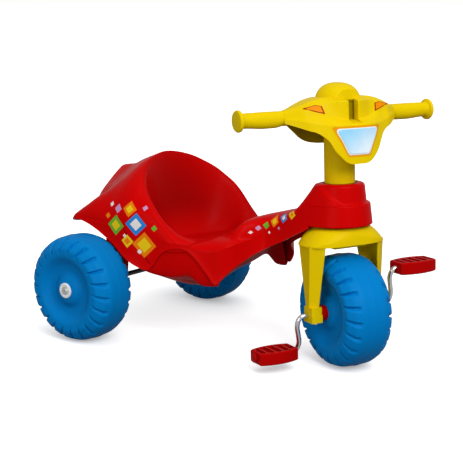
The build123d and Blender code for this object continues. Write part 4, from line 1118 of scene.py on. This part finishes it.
# %% The fork legs
LEG_TOP = -18.5
FOOT_ABOVE_HUB = 13.0
leg_top_points = [
    (-22, 45), (-22, 77), (18, 77), (20, 79), (22, 78.4), (41.5, 57.2), (38, 54.5), (19.5, 73.5),
    (-18, 73.5), (-18, 45),
]
leg_foot_points = [
    (-3, 58), (-3, 76), (10.5, 76), (12, 77.6), (13.5, 77), (25, 64), (22, 61.5), (11, 72.5),
    (1, 72.5), (1, 58),
]
LEG_RADII = (1, 4, 0.8, 0.8, 0.8, 1.2, 1.2, 3, 3, 1)
leg_drop = np.linspace(0, 1, 24)[:, None]
leg_top_outline = rounded(leg_top_points, LEG_RADII)[None]
leg_foot_outline = rounded(leg_foot_points, LEG_RADII)[None]
leg_outline = leg_top_outline + (leg_foot_outline - leg_top_outline) * leg_drop[..., None]
leg_w = LEG_TOP + (hub_up + FOOT_ABOVE_HUB - LEG_TOP) * leg_drop
FOOT_MIDDLE = 67.5
foot_outline = rounded([(15, 11), (-15, 11), (-15, -11), (15, -11)], 3)
foot_heights = (0, 0, 14, 15)
fork_parts = [(crown_grid, True, True)]
for side in (-1, 1):
    fork_parts.append((on_steering(leg_outline[..., 0], side * leg_outline[..., 1], leg_w), False, True))
    foot_place = on_steering(np.array(hub_ahead), np.array(side * FOOT_MIDDLE), np.array(hub_up))
    on_foot = placed(foot_place, steer_ahead, steer_left, steer_up)
    fork_parts.append(loft(foot_outline, (0.01, 1, 1, 0.01), foot_heights, on_foot))
make_piece("fork_moulding", "steering", yellow_plastic, fork_parts, ["fork"], crease=30)

# %% [markdown]
# The crank is one bright rod, bent in a soft S on each side between the fork's foot and the pedal.
# A curve with a bevel would do; here the rod's middle line runs through a few points in the flat plane of
# the crank, and a circle square to it is carried along.

# %% The crank
ROD_RADIUS = 4.5
pedal_place = (np.array(joints["right_pedal_spin"]["pos_m"]) - front_hub) / MM
crank_reach = pedal_place - (pedal_place @ steer_left) * steer_left
crank_throw = np.linalg.norm(crank_reach)
crank_out = crank_reach / crank_throw
crank_side = np.cross(steer_left, crank_out)
rod_left_at = {
    0: 0, 2: -60, 2.5: -80, 3: -88, 4: -97, 5: -98, 6: -93, 7: -89.5, 8: -92, 9: -101, 11: -178,
}
rod_out_at = {
    0: 0, 2: 0, 2.5: 0, 3: 0.4, 4: 8, 5: 22, 6: 40, 7: 55, 8: 67, 9: crank_throw, 11: crank_throw,
}
rod_share = np.linspace(0, 11, 130)
half_rod = np.stack([through(rod_left_at, rod_share), through(rod_out_at, rod_share)], -1)
rod_line, rod_along = spaced(np.concatenate([-half_rod[:0:-1], half_rod]), 240)
rod_way = np.gradient(rod_line, rod_along, axis=0)
rod_way = rod_way / np.linalg.norm(rod_way, axis=1, keepdims=True)
rod_size = np.full(len(rod_line), ROD_RADIUS)
rod_size[[0, -1]] = 0
rod_angle = full_turn(24)[None, :]
rod_in_plane = rod_size[:, None] * np.cos(rod_angle)
rod_left = rod_line[:, :1] - rod_way[:, 1:] * rod_in_plane
rod_out = rod_line[:, 1:] + rod_way[:, :1] * rod_in_plane
on_crank = placed(front_hub, steer_left, crank_out, crank_side)
rod = (on_crank(rod_left, rod_out, rod_size[:, None] * np.sin(rod_angle)), False, True)
make_piece("crank_rod", "front_drive", chrome, [rod], ["pedal_crank"], crease=60)

# %% [markdown]
# Small parts, such as pedals, axle and screws, are good enough as CAD. Each node that stays gets the finish
# that the record names for it. Only the push nuts on the pedals' ends take the pedals' own red.

# %% Finishes for the CAD nodes that stay
for name, node in frame["nodes"].items():
    for index, old in enumerate(node.data.materials):
        plain = old.name.split(".")[0]
        node.data.materials[index] = pedal_red if name == "pedal_push_nuts" else finishes[plain]
print("CAD nodes with a finish:", len(frame["nodes"]))

# %% [markdown]
# The photograph has a white ground with a soft shadow. A pale floor under a white sky takes the shadow.
# Where the eye sees the floor it also glows a little and turns white farther out; close to the wheels it
# glows less, a painted contact shadow. A mirror image of it in gloss is weaker. Light that bounces off it
# meets a darker tone, so that the toy is not lit from below.

# %% Floor
MIRROR_SHARE = 0.25
FLOOR_HALF = 9.0
FLOOR_CLOUDS = 3.0
FLOOR_TONES = (0.92, 0.94)
FLOOR_ROUGHNESS = 0.9
FLOOR_SHINE = 0.1
FLOOR_LIFT = 0.68
# Painted contact shadow: how far and how much the floor's glow drops near the parts above it.
CONTACT_SHADOW_REACH = 0.09
CONTACT_SHADOW_DEPTH = 0.55
FLOOR_BOUNCE = 0.22
FLOOR_WHITE = (0.5, 1.6)


def seen_by_eye(here):
    """1 for rays from the camera, a share for their mirror images in gloss, 0 for light that bounces."""
    direct = here.node("ShaderNodeLightPath", (), (), "Is Camera Ray")
    mirrored = here.node("ShaderNodeLightPath", (), (), "Is Glossy Ray")
    return direct + mirrored * MIRROR_SHARE


def grey(tone):
    """A colour without hue."""
    return (tone, tone, tone, 1)


floor_mesh = bpy.data.meshes.new("floor")
floor_corners = np.array([(-1, -1, 0), (1, -1, 0), (1, 1, 0), (-1, 1, 0)]) * FLOOR_HALF
floor_mesh.from_pydata(floor_corners, [], [(0, 1, 2, 3)])
floor = bpy.data.objects.new("floor", floor_mesh)
bpy.context.scene.collection.objects.link(floor)
floor_material, floor_here = start_material("pale_floor")
floor_tone = floor_here.noise(FLOOR_CLOUDS).blend(*[grey(tone) for tone in FLOOR_TONES])
seen = seen_by_eye(floor_here)
floor_x, floor_y = floor_here.parts()[:2]
far_off = (floor_x * floor_x + floor_y * floor_y).math("SQRT").fade(*FLOOR_WHITE)
# Painted contact shadow: the floor's glow drops where parts stand close above it.
contact_shadow = 1 - floor_here.node("ShaderNodeAmbientOcclusion", (), {"Distance": CONTACT_SHADOW_REACH}, "AO")
near_lift = (contact_shadow * CONTACT_SHADOW_DEPTH).blend(grey(FLOOR_LIFT), grey(0))
lift = seen.blend(grey(0), far_off.blend(near_lift, grey(1)))
floor_tone = seen.blend(grey(FLOOR_BOUNCE), floor_tone)
floor_glow = {"Emission_Color": lift, "Emission_Strength": 1.0}
end_material(floor_here, floor_tone, FLOOR_ROUGHNESS, Specular_IOR_Level=FLOOR_SHINE, **floor_glow)
floor_mesh.materials.append(floor_material)
print("nodes of the floor:", len(floor_material.node_tree.nodes))

# %% Sky
SKY_STRENGTH = 0.42
world = bpy.data.worlds.new("studio")
bpy.context.scene.world = world
world.use_nodes = True
world.node_tree.nodes.clear()
sky = Wire(world.node_tree)
strength = seen_by_eye(sky) * (1 - SKY_STRENGTH) + SKY_STRENGTH
background = sky.node("ShaderNodeBackground", (), {"Color": grey(1), "Strength": strength})
sky.node("ShaderNodeOutputWorld", (), {"Surface": background})
print("light of the sky:", SKY_STRENGTH)

# %% [markdown]
# Three square lamps light the toy. The key lamp is high and right of the camera, a weaker one fills in from
# the left and from low down, and a faint one hangs above. They are large, because a large lamp gives
# soft shadows and the wide, pale highlights of this plastic.

# %% Lamps
LAMP_TARGET = (0, 0, 0.25)
TOP_TARGET = (0, 0, 0.2)


def set_up(name, data, right, up, back, place):
    """Puts a lamp or camera at place with the given axes; it looks against the third of them."""
    thing = bpy.data.objects.new(name, data)
    turn = np.eye(4)
    turn[:3] = np.stack([right, up, back, place], 1)
    thing.matrix_world = Matrix(turn)
    bpy.context.scene.collection.objects.link(thing)
    return thing


def lamp(name, place, target, power, size):
    """A square soft lamp at place that looks at target; power in watts, size in metres."""
    data = bpy.data.lights.new(name, "AREA")
    data.energy = power
    data.size = size
    back = np.array(place, float) - target
    back = back / np.linalg.norm(back)
    right = np.cross((0, 0, 1), back)
    right = right / np.linalg.norm(right)
    set_up(name, data, right, np.cross(back, right), back, place)
    print("lamp", name, "has", power, "watts")


lamp("key", (1.9, -1.0, 1.8), LAMP_TARGET, power=40, size=1.3)
lamp("fill", (0.3, -2.4, 0.6), LAMP_TARGET, power=13, size=1.4)
lamp("top", (0.1, -0.2, 2.4), TOP_TARGET, power=7, size=1.6)

# %% [markdown]
# The camera stands where the photographer's stood. Its place, angles and lens were fitted to the outlines of
# wheels, axle, grips and pedals in the photograph. Two angles give its axes, and a small roll tilts them.

# %% Camera
CAMERA_PLACE = np.array((1.4803, -1.6772, 0.6512)) + (rear_axle[0], 0, 0)
AZIMUTH = math.radians(37.0)
ELEVATION = math.radians(11.8)
ROLL = math.radians(0.9)
SENSOR_WIDTH = 36.0
FOCAL_LENGTH = 84.7
level = math.cos(ELEVATION)
camera_back = np.array((math.sin(AZIMUTH) * level, -math.cos(AZIMUTH) * level, math.sin(ELEVATION)))
level_right = np.array((math.cos(AZIMUTH), math.sin(AZIMUTH), 0))
level_up = np.cross(camera_back, level_right)
camera_right = level_right * math.cos(ROLL) + level_up * math.sin(ROLL)
camera_up = level_up * math.cos(ROLL) - level_right * math.sin(ROLL)
camera_data = bpy.data.cameras.new("camera")
camera_data.sensor_width = SENSOR_WIDTH
camera_data.lens = FOCAL_LENGTH
camera = set_up("camera", camera_data, camera_right, camera_up, camera_back, CAMERA_PLACE)
bpy.context.scene.camera = camera
bpy.context.scene.view_settings.view_transform = "Standard"
print("camera at", CAMERA_PLACE.round(3))

# %% [markdown]
